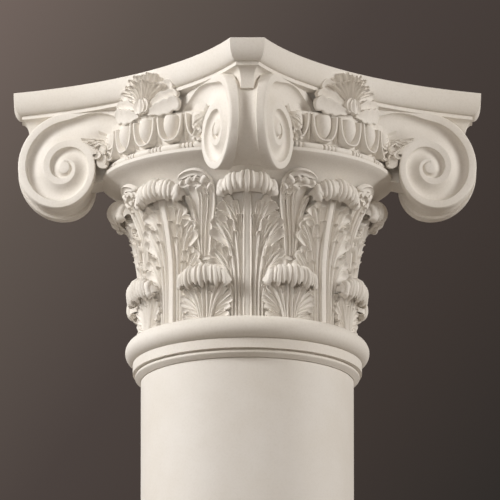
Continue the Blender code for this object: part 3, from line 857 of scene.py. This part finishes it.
layUpper, upperLength = leafSkin(upperLeaf)
upper = laid("upper_leaf_source", upperLeafStrips(upperLength), layUpper)
upperCorner = added("upper_corner_source", upper.data.copy())
settle(ringPiece(upper, "upper_leaves_faces", 4, 0, 90), "capital")
settle(ringPiece(upperCorner, "upper_leaves_corners", 4, 45, 90), "capital")
print("upper leaves done, drawn length", round(upperLength, 4))

lowerLeaf = {
    "line": ((0.0050, -0.003), (0.0050, 0.014), (0.0062, 0.030), (0.0088, 0.045), (0.0120, 0.0565),
             (0.0158, 0.0650), (0.0200, 0.0695), (0.0238, 0.0685), (0.0252, 0.0625), (0.0245, 0.0555),
             (0.0215, 0.0505), (0.0175, 0.0498)),
    "halfWidth": 0.0385,
    "droop": (
        (0.0, 0.045, 0.064, 0.077, 0.089, 0.102, 0.110),
        (0.0, 0.0, 0.014, 0.0230, 0.0170, 0.0030, 0.0),
    ),
    "crown": ((0.0, 0.04, 0.075, 0.092, 0.11), (0.0, 0.002, 0.007, 0.011, 0.005)),
    "ground": ((0.0, 0.024), (0.012, 0.030), (0.03, 0.030), (0.045, 0.026), (0.06, 0.032), (0.070, 0.0383),
               (0.082, 0.0383), (0.093, 0.0370), (0.097, 0.030)),
    "thickness": 0.0042,
    "lobes": (
        ((-4.5, 0.010), ((-1.5, 22), (-5, 28), (-9.5, 33), (-15, 36))),
        ((-7.5, 0.008), ((-14.5, 27), (-18.5, 22), (-20, 15), (-18, 8))),
        ((-6.5, 0.000), ((-14, 10), (-18, 5.5), (-17, 1))),
    ),
    "stretch": 1.0,
    "leafletWidths": (2.2, 3.3),
    "leaflet": {"lift": (0.0014, 0.0040), "relief": 0.0022, "root": 0.34, "flick": 0.0026},
    "flutes": 13,
    "fluteFoot": 0.056,
    "gather": 0.28,
    "eyeGap": 0.0009,
    "shorter": 0.0028,
    "crest": 0.077,
}


def lowerLeafStrips(length):
    own = lowerLeaf
    strips = lobeFans(own)
    for x, out in ((-6.0, -20.0), (-4.4, -11.0)):  # ribs that splay out under the head
        path = [(x * px, 0.0), (x * px, 0.022), ((x + out * 0.45) * px, 0.042), ((x + out) * px, 0.064)]
        strips.append(rib(path, 1.6 * px, lift=(0.0050, 0.0052), relief=0.0021, root=0.85, tip=0.08, steps=18))
    path = [(-2.2 * px, 0.0), (-2.2 * px, 0.03), (-3.0 * px, 0.066)]
    strips.append(rib(path, 1.5 * px, lift=(0.0056, 0.0050), relief=0.0022, root=0.9, tip=0.06, steps=16))
    strips += flipped(strips)
    strips += headFlutes(own, length)
    strips.append(sheet(own["ground"], own["thickness"], rows=30))
    return strips


layLower, lowerLength = leafSkin(lowerLeaf)
lower = laid("lower_leaf_source", lowerLeafStrips(lowerLength), layLower)
settle(ringPiece(lower, "lower_leaves", 8, 22.5, 45), "capital")
print("lower leaves done, drawn length", round(lowerLength, 4))


# Egg moulding: an egg in its shell, repeated between the scrolls, with a dart between two shells

eggRow = {
    "perTurn": 28,
    "shownPerFace": 5,
    "belowAbacus": 0.0045,
    "reach": 0.2110,
    "bed": 0.1962,
    "back": 0.1860,
    "halfWidth": 0.0134,
    "height": 0.0325,
    "waist": 0.0115,  # depth below the flat top at which the egg is fullest
    "rimReach": 0.2078,
    "channelWidth": 0.0048,
    "rimWidth": 0.0025,
    "dartReach": 0.2062,
    "dartHalfWidth": 0.0032,
    "dartShape": ((0, 0.5, 0.66, 0.74, 1.0), (1.0, 0.5, 0.42, 1.0, 0.05)),  # shares of its drop and its width
}


def roundTheAxis(reach, across, level):
    # Points at a radius, an arc length across from +X and a level
    turn = across / eggRow["reach"]
    return np.stack([reach * np.cos(turn), reach * np.sin(turn), level + 0 * turn], axis=-1)


def thickPatch(lines):
    # Lines of points, given by reach, arc length and level, with a twin of each at the back, closed round
    front = np.array([roundTheAxis(*line) for line in lines])
    back = np.array([roundTheAxis(eggRow["back"], across, level) for reach, across, level in lines])
    rows, columns = front.shape[:2]
    start = rows * columns
    faces = gridFaces(rows, columns) + [tuple(reversed(f)) for f in gridFaces(rows, columns, start)]
    edge = list(range(columns)) + [i * columns + columns - 1 for i in range(1, rows)]
    edge += [(rows - 1) * columns + j for j in range(columns - 2, -1, -1)]
    edge += [i * columns for i in range(rows - 2, 0, -1)]
    for here, there in zip(edge, edge[1:] + edge[:1]):
        faces.append((here, there, there + start, here + start))
    return np.concatenate([front.reshape(-1, 3), back.reshape(-1, 3)]), faces


def eggPatch():
    own = eggRow
    top = abacusLevel - own["belowAbacus"]
    angles = np.linspace(0, math.pi, 23)
    outward = own["reach"] - own["bed"]
    channel, rim = own["channelWidth"], own["rimWidth"]
    lines = []
    rise = own["rimReach"] - own["bed"]
    rows = [(share, 0.0, None) for share in (0.0, 0.30, 0.55, 0.74, 0.88, 0.96, 1.0)]
    rows += [(1.0, channel * t, own["bed"] - 0.001 + (rise + 0.001) * (1 - math.cos(t * math.pi / 2)) ** 0.8)
             for t in (0.12, 0.40, 0.65, 0.85, 1.0)]
    rows += [(1.0, channel + rim * out, own["rimReach"] + up)
             for out, up in ((0.12, 0.0004), (1.0, 0.0002), (1.15, -0.0008), (1.7, -0.0055))]
    rows.append((1.0, channel + rim * 2.1, own["bed"] - 0.003))
    for share, beyond, reach in rows:
        sideways = np.sign(np.cos(angles)) * np.abs(np.cos(angles)) ** 0.72
        across = (own["halfWidth"] * share + beyond) * sideways
        drop = (own["height"] * share + beyond * 0.66) * np.sin(angles) ** 0.84
        if reach is None:
            below = drop - own["waist"]
            tall = np.where(below > 0, own["height"] - own["waist"], own["waist"] * 1.9)
            inside = 1 - (across / (own["halfWidth"] * 1.004)) ** 2 - (below / tall) ** 2
            reach = own["bed"] + outward * np.sqrt(np.maximum(inside, 0))
        lines.append((reach, across, top - drop))
    return thickPatch(lines)


def dartPatch():
    own = eggRow
    top = abacusLevel - own["belowAbacus"]
    lines = []
    for share in (0.0, 0.12, 0.35, 0.55, 0.68, 0.74, 0.86, 1.0):
        wide = own["dartHalfWidth"] * float(np.interp(share, *own["dartShape"]))
        across = wide * np.array((-1.0, -0.55, 0.0, 0.55, 1.0))
        ridge = np.array((-0.0052, -0.0022, 0.0, -0.0022, -0.0052)) * (wide / own["dartHalfWidth"]) ** 0.5
        reach = own["dartReach"] - 0.0050 * share + ridge
        lines.append((reach, across, top - own["height"] * 1.13 * share))
    return thickPatch(lines)


def joinedPieces(name, pieces):
    # The rings of one moulding kept as one mesh
    bm = bmesh.new()
    for piece in pieces:
        bm.from_mesh(piece.data)
        bpy.data.objects.remove(piece)
    mesh = bpy.data.meshes.new(name)
    bm.to_mesh(mesh)
    bm.free()
    made = added(name, mesh)
    made.data.materials.append(stone)
    made.data.set_sharp_from_angle(angle=math.radians(40))
    return made


def everyFace(name, patch, count, pitch):
    # A run of copies of one carved source, centred on each face of the abacus
    rings = []
    for face in range(4):
        source = tidyMesh(meshObject(f"{name}_{face}_source", *patch), smoothDegrees=40)
        first = 90 * face - pitch * (count - 1) / 2
        rings.append(ringPiece(source, f"{name}_{face}", count, first, pitch))
    return rings


eggPitch = 360 / eggRow["perTurn"]
shown = eggRow["shownPerFace"]
settle(joinedPieces("eggs_in_shells", everyFace("egg", eggPatch(), shown, eggPitch)), "capital")
settle(joinedPieces("egg_darts", everyFace("dart", dartPatch(), shown + 1, eggPitch)), "capital")
print("egg moulding done")


# Bead and reel: long beads with three reels between them

beadRow = {
    "groups": 24,
    "firstDegrees": 5.0,
    "radius": 0.0064,
    "centre": 0.1970,
    "reels": 3,
    "reelLength": 0.0060,
    "waist": 0.30,  # radius between two reels, as a share
    "around": 12,
}


def beadPatch():
    own = beadRow
    level = beadLevel + bell["beadRowHeight"] / 2
    period = math.tau * (own["centre"] + own["radius"]) / own["groups"]
    reelRun, waist = own["reels"] * own["reelLength"], own["waist"]
    spots = []
    for reel in range(own["reels"]):
        for share, wide in ((0.0, waist), (0.16, waist), (0.28, 0.94), (0.58, 1.0), (0.88, 0.94)):
            spots.append(((reel + share) * own["reelLength"] - reelRun / 2, wide))
    beadLength = period - reelRun
    shares = (np.linspace(0, 0.16, 6), np.linspace(0.24, 0.76, 5), np.linspace(0.84, 1, 6))
    for share in np.concatenate(shares):
        nearEnd = min(share, 1 - share) / 0.16
        wide = waist + (1 - waist) * math.sqrt(max(0, 1 - max(0, 1 - nearEnd) ** 2))
        spots.append((reelRun / 2 + share * beadLength, wide))
    front = []
    for along, wide in spots:
        turn = along / (own["centre"] + own["radius"])
        ringOfPoints = []
        for a in np.linspace(0, math.tau, own["around"], endpoint=False):
            reach = own["centre"] + own["radius"] * wide * math.cos(a)
            height = level + bell["beadRowHeight"] / 2 * 0.99 * wide * math.sin(a)
            ringOfPoints.append((reach * math.cos(turn), reach * math.sin(turn), height))
        front += ringOfPoints
    return front, tubeFaces(len(spots), own["around"])


beadSource = tidyMesh(meshObject("bead_source", *beadPatch()), smoothDegrees=50)
groups = beadRow["groups"]
settle(ringPiece(beadSource, "beads_and_reels", groups, beadRow["firstDegrees"], 360 / groups), "capital")
print("bead and reel done")


# Palmette on the middle of each face: a spray between broad scalloped leaves, over a hanging bud

palmette = {
    "foot": -0.006,  # from the abacus level
    "line": ((0.2030, 0.0), (0.2040, 0.012), (0.2045, 0.026), (0.2050, 0.040), (0.2070, 0.054),
             (0.2105, 0.068)),
    "bend": 3.0,  # the fan lies back against the cavetto at its sides
    "ground": ((0.0, 0.012), (0.006, 0.034), (0.014, 0.046), (0.030, 0.043), (0.042, 0.034), (0.050, 0.022),
               (0.057, 0.008), (0.062, 0.003)),
    "thickness": 0.012,
    "broad": (  # half width, teeth, lift, then points across and up, in metres: the upper ones first
        (0.0088, 3, 0.0006, ((0.009, 0.024), (0.019, 0.042), (0.036, 0.050), (0.053, 0.044))),
        (0.0086, 3, 0.0030, ((0.010, 0.017), (0.024, 0.029), (0.042, 0.033), (0.061, 0.030))),
        (0.0118, 4, 0.0052, ((0.009, 0.010), (0.022, 0.012), (0.044, 0.014), (0.064, 0.021))),
    ),
    "upright": (  # half width and tip: a short leaflet in front of two long ones, in turn
        (0.0024, (0.0405, 0.0465)), (0.0031, (0.0355, 0.0580)), (0.0023, (0.0300, 0.0500)),
        (0.0033, (0.0260, 0.0655)), (0.0024, (0.0190, 0.0530)), (0.0031, (0.0135, 0.0690)),
        (0.0022, (0.0095, 0.0575)), (0.0028, (0.0045, 0.0675)),
    ),
    "bud": (  # half width, then points across and up
        (0.0040, ((0.004, 0.031), (0.0145, 0.028), (0.0125, 0.016), (0.0050, 0.011))),
        (0.0036, ((0.001, 0.031), (0.0075, 0.026), (0.0070, 0.016), (0.0020, 0.011))),
    ),
}


def palmetteSkin():
    own = palmette
    middle = curveThrough([(off, abacusLevel + own["foot"] + up) for off, up in own["line"]], 80)
    arc = lengthAlong(middle)

    def lay(points):
        x, y, h = points[:, 0], points[:, 1], points[:, 2]
        reach = np.interp(y, arc, middle[:, 0]) + h - own["bend"] * x**2
        height = np.interp(y, arc, middle[:, 1]) + np.minimum(y, 0)
        return np.stack([reach, x, height], axis=1)

    return lay


def palmetteStrips():
    own = palmette
    strips = []
    for i, (width, (x, y)) in enumerate(own["upright"]):
        tall = i % 2
        bend = (x * (0.66 + 0.20 * tall), y * (0.96 - 0.08 * tall))
        path = [(x * 0.12, 0.020), (x * 0.30, 0.036), bend, (x, y)]
        strips.append(strip(path, width, lift=(0.0040, 0.0060 - 0.0040 * tall), relief=0.0034, root=0.34,
                            tip=0.10, steps=24, swell=0.85, flick=0.0055 - 0.0035 * tall))
    for width, teeth, lift, path in own["broad"]:
        strips.append(strip(path, width, lift=(lift, lift + 0.0016), relief=0.0013, root=0.30, tip=0.16,
                            steps=44, across=15, swell=0.55, flick=0.0020, scallops=teeth, notch=0.26,
                            tilt=0.0026))
    for i, (width, path) in enumerate(own["bud"]):
        strips.append(strip(path, width, lift=(0.0080 + 0.0016 * i, 0.0092 + 0.0016 * i), relief=0.0020,
                            root=0.6, tip=0.3, steps=18))
    strips += flipped(strips)
    strips.append(strip([(0, 0.020), (0, 0.036), (0, 0.050), (0, 0.0600)], 0.0024, lift=(0.0052, 0.0060),
                        relief=0.0028, root=0.34, tip=0.12, steps=22, swell=0.9))
    strips.append(strip([(0, 0.031), (0, 0.026), (0, 0.016), (0, 0.009)], 0.0042, lift=(0.0100, 0.0122),
                        relief=0.0020, root=0.6, tip=0.3, shape=ribShape, steps=18))
    strips.append(sheet(own["ground"], own["thickness"], rows=24))
    return strips


settle(ringPiece(laid("palmette_source", palmetteStrips(), palmetteSkin()), "palmettes", 4, 0, 90), "capital")
print("palmettes done")


# Stalks between the upper leaves: gouged bands that widen upwards and curl towards the middle of a face

stalk = {
    "line": ((0.0055, 0.085), (0.0070, 0.105), (0.0085, 0.125), (0.0120, 0.146), (0.0185, 0.167),
             (0.0275, 0.186), (0.0360, 0.199), (0.0420, 0.2065)),
    "bands": (  # half width, then points across in pixels and up from the torus in metres
        (3.5, ((3.5, 0.090), (4.5, 0.130), (9.0, 0.158), (17.5, 0.176), (17.5, 0.204), (4.0, 0.2135),
               (-9.0, 0.208), (-22.0, 0.198))),
        (2.0, ((-0.8, 0.090), (-0.8, 0.130), (2.0, 0.155), (10.0, 0.172), (10.0, 0.195), (1.0, 0.201),
               (-7.0, 0.195))),
        (2.0, ((-3.6, 0.092), (-4.6, 0.130), (-4.0, 0.152), (1.0, 0.166), (1.5, 0.183), (-5.0, 0.186))),
        (2.3, ((-6.0, 0.094), (-8.0, 0.125), (-11.0, 0.148), (-12.5, 0.162), (-15.0, 0.174))),
        (2.8, ((7.0, 0.176), (5.0, 0.197), (-8.0, 0.200), (-16.0, 0.193), (-25.0, 0.186))),
        (4.6, ((5.0, 0.174), (-1.0, 0.192), (-12.0, 0.196), (-19.0, 0.188))),
        (1.9, ((10.0, 0.163), (8.0, 0.168), (4.5, 0.174))),
        (1.9, ((12.0, 0.172), (9.5, 0.178), (5.0, 0.182))),
        (1.9, ((12.0, 0.182), (9.5, 0.187), (4.0, 0.190))),
    ),
    "curls": (  # rounded leaflets inside the hook: half width, then from and to, in the same units
        (3.4, (9.5, 0.1975), (4.0, 0.190)), (2.6, (0.5, 0.2005), (-3.0, 0.194)),
        (3.6, (-6.0, 0.199), (-11.5, 0.191)), (2.4, (-15.5, 0.197), (-19.0, 0.191)),
        (3.0, (3.0, 0.186), (-3.0, 0.181)), (2.2, (12.5, 0.187), (9.0, 0.180)),
    ),
    "stretch": 1.06,  # from heights over the torus to lengths along the line
    "halfWidth": 0.045,
    "droop": ((0, 1), (0, 0)),  # neither droops nor draws back
    "crown": ((0, 1), (0, 0)),
    "ground": ((0.0, 0.008), (0.03, 0.011), (0.06, 0.016), (0.085, 0.020), (0.105, 0.020), (0.118, 0.012)),
    "thickness": 0.005,
}


def stalkStrips():
    own = stalk
    strips = []

    def flat(x, up):
        return (x * px, (up - own["line"][0][1]) * own["stretch"])

    for i, (width, path) in enumerate(own["bands"]):
        path = [flat(x, up) for x, up in path]
        strips.append(strip(path, width * px, lift=(0.0030, 0.0046 + 0.0006 * (i % 2)), relief=0.0019,
                            root=0.55, tip=0.12, steps=30, swell=0.6, flick=0.002))
    for width, first, last in own["curls"]:
        (x, up), (endX, endUp) = flat(*first), flat(*last)
        path = [(x, up), (x * 0.3 + endX * 0.7, up - 0.002), (endX, endUp)]
        strips.append(rib(path, width * px, lift=(0.0052, 0.0074), relief=0.0024, root=0.75, tip=0.45,
                          steps=10))
    strips.append(sheet(own["ground"], own["thickness"], rows=18))
    return strips


def stalkPieces():
    lay = leafSkin(stalk)[0]
    right = stalkStrips()
    pieces = []
    for name, strips, first in (("stalk_left", flipped(right), -22.5), ("stalk_right", right, 22.5)):
        pieces.append(ringPiece(laid(name + "_source", strips, lay), name, 4, first, 90))
    return joinedPieces("stalks", pieces)


settle(stalkPieces(), "capital")
print("stalks done")


# Husks: thin ribs that spring from a scroll's channel and end in curls on the outer egg

husk = {
    "strokes": (  # half width, then points behind the eye and above it, in metres
        (0.0011, ((0.0285, 0.0345), (0.037, 0.030), (0.048, 0.023), (0.056, 0.012))),
        (0.0011, ((0.0265, 0.0375), (0.038, 0.034), (0.054, 0.028), (0.066, 0.017))),
        (0.0011, ((0.0255, 0.0400), (0.040, 0.037), (0.058, 0.033), (0.074, 0.023))),
        (0.0026, ((0.052, 0.030), (0.063, 0.027), (0.064, 0.015), (0.055, 0.014))),
        (0.0028, ((0.060, 0.036), (0.075, 0.033), (0.077, 0.020), (0.067, 0.019))),
        (0.0024, ((0.045, 0.022), (0.053, 0.018), (0.053, 0.008), (0.046, 0.008))),
        (0.0026, ((0.056, 0.012), (0.066, 0.009), (0.064, -0.001), (0.056, 0.001))),
        (0.0024, ((0.066, 0.016), (0.076, 0.012), (0.075, 0.002), (0.067, 0.004))),
        (0.0017, ((0.028, 0.037), (0.032, 0.039), (0.036, 0.037), (0.034, 0.033))),
        (0.0017, ((0.034, 0.033), (0.039, 0.035), (0.043, 0.032), (0.040, 0.028))),
        (0.0018, ((0.040, 0.029), (0.045, 0.031), (0.048, 0.027), (0.045, 0.023))),
    ),
    "bridge": (0.0076, ((0.052, 0.031), (0.057, 0.019), (0.057, 0.007), (0.053, -0.006))),
    "floor": 0.0026,  # depth of the channel where they start, beside the inner turn
    "reach": 0.2085,  # radius of the egg they lie on
    "sunk": 0.0040,  # how far inside that radius the channel's floor dives, above the inner turn
    "sunkEnd": (0.052, 0.012),  # behind the eye the dive ends, and the length over which it does
    "level": (0.024, 0.036),  # heights over which they pass from beside the inner turn to above it
    "beside": (0.046, 0.062),  # distances behind the eye between which they go in to the egg, beside the turn
    "above": (0.026, 0.047),  # and above it
}


def huskPiece():
    own = husk
    strips = []
    for i, (width, path) in enumerate(own["strokes"]):
        strips.append(strip(path, width, lift=(0.0030, 0.0040 + 0.0006 * (i % 2)), relief=0.0016, root=0.6,
                            tip=0.2, steps=16, across=7, shape=ribShape if width < 0.0015 else spoonShape))
    width, path = own["bridge"]
    strips.append(rib(path, width, across=9, lift=(0.0, 0.0), relief=0.0008, root=0.8, tip=0.3, steps=16))
    flat, patch = joined(strips)
    sunkEnd, sunkSpan = own["sunkEnd"]
    points, faces = [], []
    for side in (1, -1):
        start = len(points)
        for x, y, h in flat:
            out, aside, level = facePoint(-x, y, own["floor"] - h, side)
            radius = math.hypot(out, aside)
            over = clamp((y - own["level"][0]) / (own["level"][1] - own["level"][0]))
            first = own["beside"][0] + (own["above"][0] - own["beside"][0]) * over
            last = own["beside"][1] + (own["above"][1] - own["beside"][1]) * over
            share = clamp((x - first) / (last - first))
            target = own["reach"] + h - own["sunk"] * over * clamp((sunkEnd - x) / sunkSpan)
            scale = 1 + smooth(share) * (min(radius, target) / radius - 1)
            points.append((out * scale, aside * scale, level))
        faces += [tuple(i + start for i in face) for face in patch]
    return tidyMesh(meshObject("husk_source", points, faces), smoothDegrees=42)


settle(ringPiece(huskPiece(), "husks", 4, 45, 90), "capital")
print("husks done")


# Floor, light and camera

studio = {
    "floorHalf": 6,
    "floorLevel": -0.0004,
    "floorTone": (0.62, 0.60, 0.57, 1),
    "fillColour": (1.0, 0.83, 0.68, 1),
    "fillStrength": 0.225,
    "fallAlong": (0.55, 0.55, -0.55),  # painted light on the backdrop: bright at the left, falling off to the right
    "fallSpan": (-0.1544, -0.1174),
    "backdropPaintedFalloff": (
        (0.0, (0.168, 0.130, 0.114)), (0.20, (0.114, 0.091, 0.078)), (0.45, (0.072, 0.056, 0.050)),
        (0.79, (0.049, 0.038, 0.033)), (1.0, (0.032, 0.027, 0.024)),
    ),
    "aim": (0, 0, 0.45),
    "lights": (  # name, place, size, power and colour
        ("left", (-1.14, -2.96, 1.93), 1.3, 102, (1.0, 0.985, 0.965)),
        ("right", (2.97, 1.65, 1.3), 1.5, 68, (1.0, 0.98, 0.95)),
        ("front", (1.64, -2.96, -0.46), 1.8, 71, (1.0, 0.985, 0.96)),
        ("back", (-3.03, -1.29, 1.65), 1.8, 18, (1.0, 0.985, 0.965)),
    ),
}


def areaLight(name, place, size, power, colour):
    lamp = bpy.data.lights.new(name, "AREA")
    lamp.shape = "DISK"
    lamp.size = size
    lamp.energy = power
    lamp.color = colour
    made = added(name, lamp)
    made.location = place
    made.rotation_mode = "QUATERNION"
    back = made.location - type(made.location)(studio["aim"])
    made.rotation_quaternion = back.to_track_quat("Z", "Y")
    return made


def paleFloor():
    # Pale above; seen from below, as by the low camera, it is clear
    half, level = studio["floorHalf"], studio["floorLevel"]
    points = [(x * half, y * half, level) for x, y in ((-1, -1), (1, -1), (1, 1), (-1, 1))]
    made = meshObject("floor", points, [(0, 1, 2, 3)])
    material = bpy.data.materials.new("paleFloor")
    material.use_nodes = True
    nodes, links = material.node_tree.nodes, material.node_tree.links
    shader = nodes["Principled BSDF"]
    shader.inputs["Base Color"].default_value = studio["floorTone"]
    shader.inputs["Roughness"].default_value = 0.8
    clear = nodes.new("ShaderNodeBsdfTransparent")
    side = nodes.new("ShaderNodeNewGeometry")
    mix = nodes.new("ShaderNodeMixShader")
    links.new(side.outputs["Backfacing"], mix.inputs[0])
    links.new(shader.outputs[0], mix.inputs[1])
    links.new(clear.outputs[0], mix.inputs[2])
    links.new(mix.outputs[0], nodes["Material Output"].inputs["Surface"])
    made.data.materials.append(material)
    made.visible_diffuse = False  # no glow on the undersides from so near a floor


def softWorld():
    # A dark warm grey backdrop to the eye, with painted light falling off across it, and a pale soft fill for
    # the stone
    world = bpy.data.worlds.new("studio")
    bpy.context.scene.world = world
    world.use_nodes = True
    tree, nodes, links = world.node_tree, world.node_tree.nodes, world.node_tree.links
    fill = nodes["Background"]
    fill.inputs["Color"].default_value = studio["fillColour"]
    fill.inputs["Strength"].default_value = studio["fillStrength"]
    backdrop = nodes.new("ShaderNodeBackground")
    towards = nodes.new("ShaderNodeTexCoord")
    across = addNode(tree, "ShaderNodeVectorMath", {1: studio["fallAlong"]}, operation="DOT_PRODUCT")
    first, last = studio["fallSpan"]
    fall = addNode(tree, "ShaderNodeMapRange", {"From Min": first, "From Max": last})
    links.new(towards.outputs["Generated"], across.inputs[0])
    links.new(across.outputs["Value"], fall.inputs["Value"])
    # The backdrop's colour is painted light: brighter at the left and above, darker to the right and below
    tones = rampNode(tree, fall.outputs["Result"], studio["backdropPaintedFalloff"])
    links.new(tones, backdrop.inputs["Color"])
    seen = nodes.new("ShaderNodeLightPath")
    mix = nodes.new("ShaderNodeMixShader")
    links.new(seen.outputs["Is Camera Ray"], mix.inputs[0])
    links.new(fill.outputs[0], mix.inputs[1])
    links.new(backdrop.outputs[0], mix.inputs[2])
    links.new(mix.outputs[0], nodes["World Output"].inputs["Surface"])


bpy.context.scene.view_settings.view_transform = "Standard"

camera = {
    "azimuth": 45.0,
    "elevation": -14.3,
    "distance": 25.0,
    "targetHeight": 0.4130,
    "frameWidth": 0.7062,  # what the picture spans at the axis
    "axisOffset": 2.7 / 500,  # the axis stands this share left of the middle
}


def placeCamera():
    own = camera
    a, e = math.radians(own["azimuth"]), math.radians(own["elevation"])
    data = bpy.data.cameras.new("view")
    data.sensor_width = 36.0
    data.lens = data.sensor_width * own["distance"] / own["frameWidth"]
    data.shift_x = own["axisOffset"]
    data.clip_end = 120.0
    made = added("view", data)
    vector = type(made.location)
    back = vector((math.sin(a) * math.cos(e), -math.cos(a) * math.cos(e), math.sin(e)))
    made.location = vector((0, 0, own["targetHeight"])) + back * own["distance"]
    made.rotation_mode = "QUATERNION"
    made.rotation_quaternion = (-back).to_track_quat("-Z", "Y")
    bpy.context.scene.camera = made


paleFloor()
softWorld()
for light in studio["lights"]:
    areaLight(*light)
placeCamera()
print("stage, light and camera done")
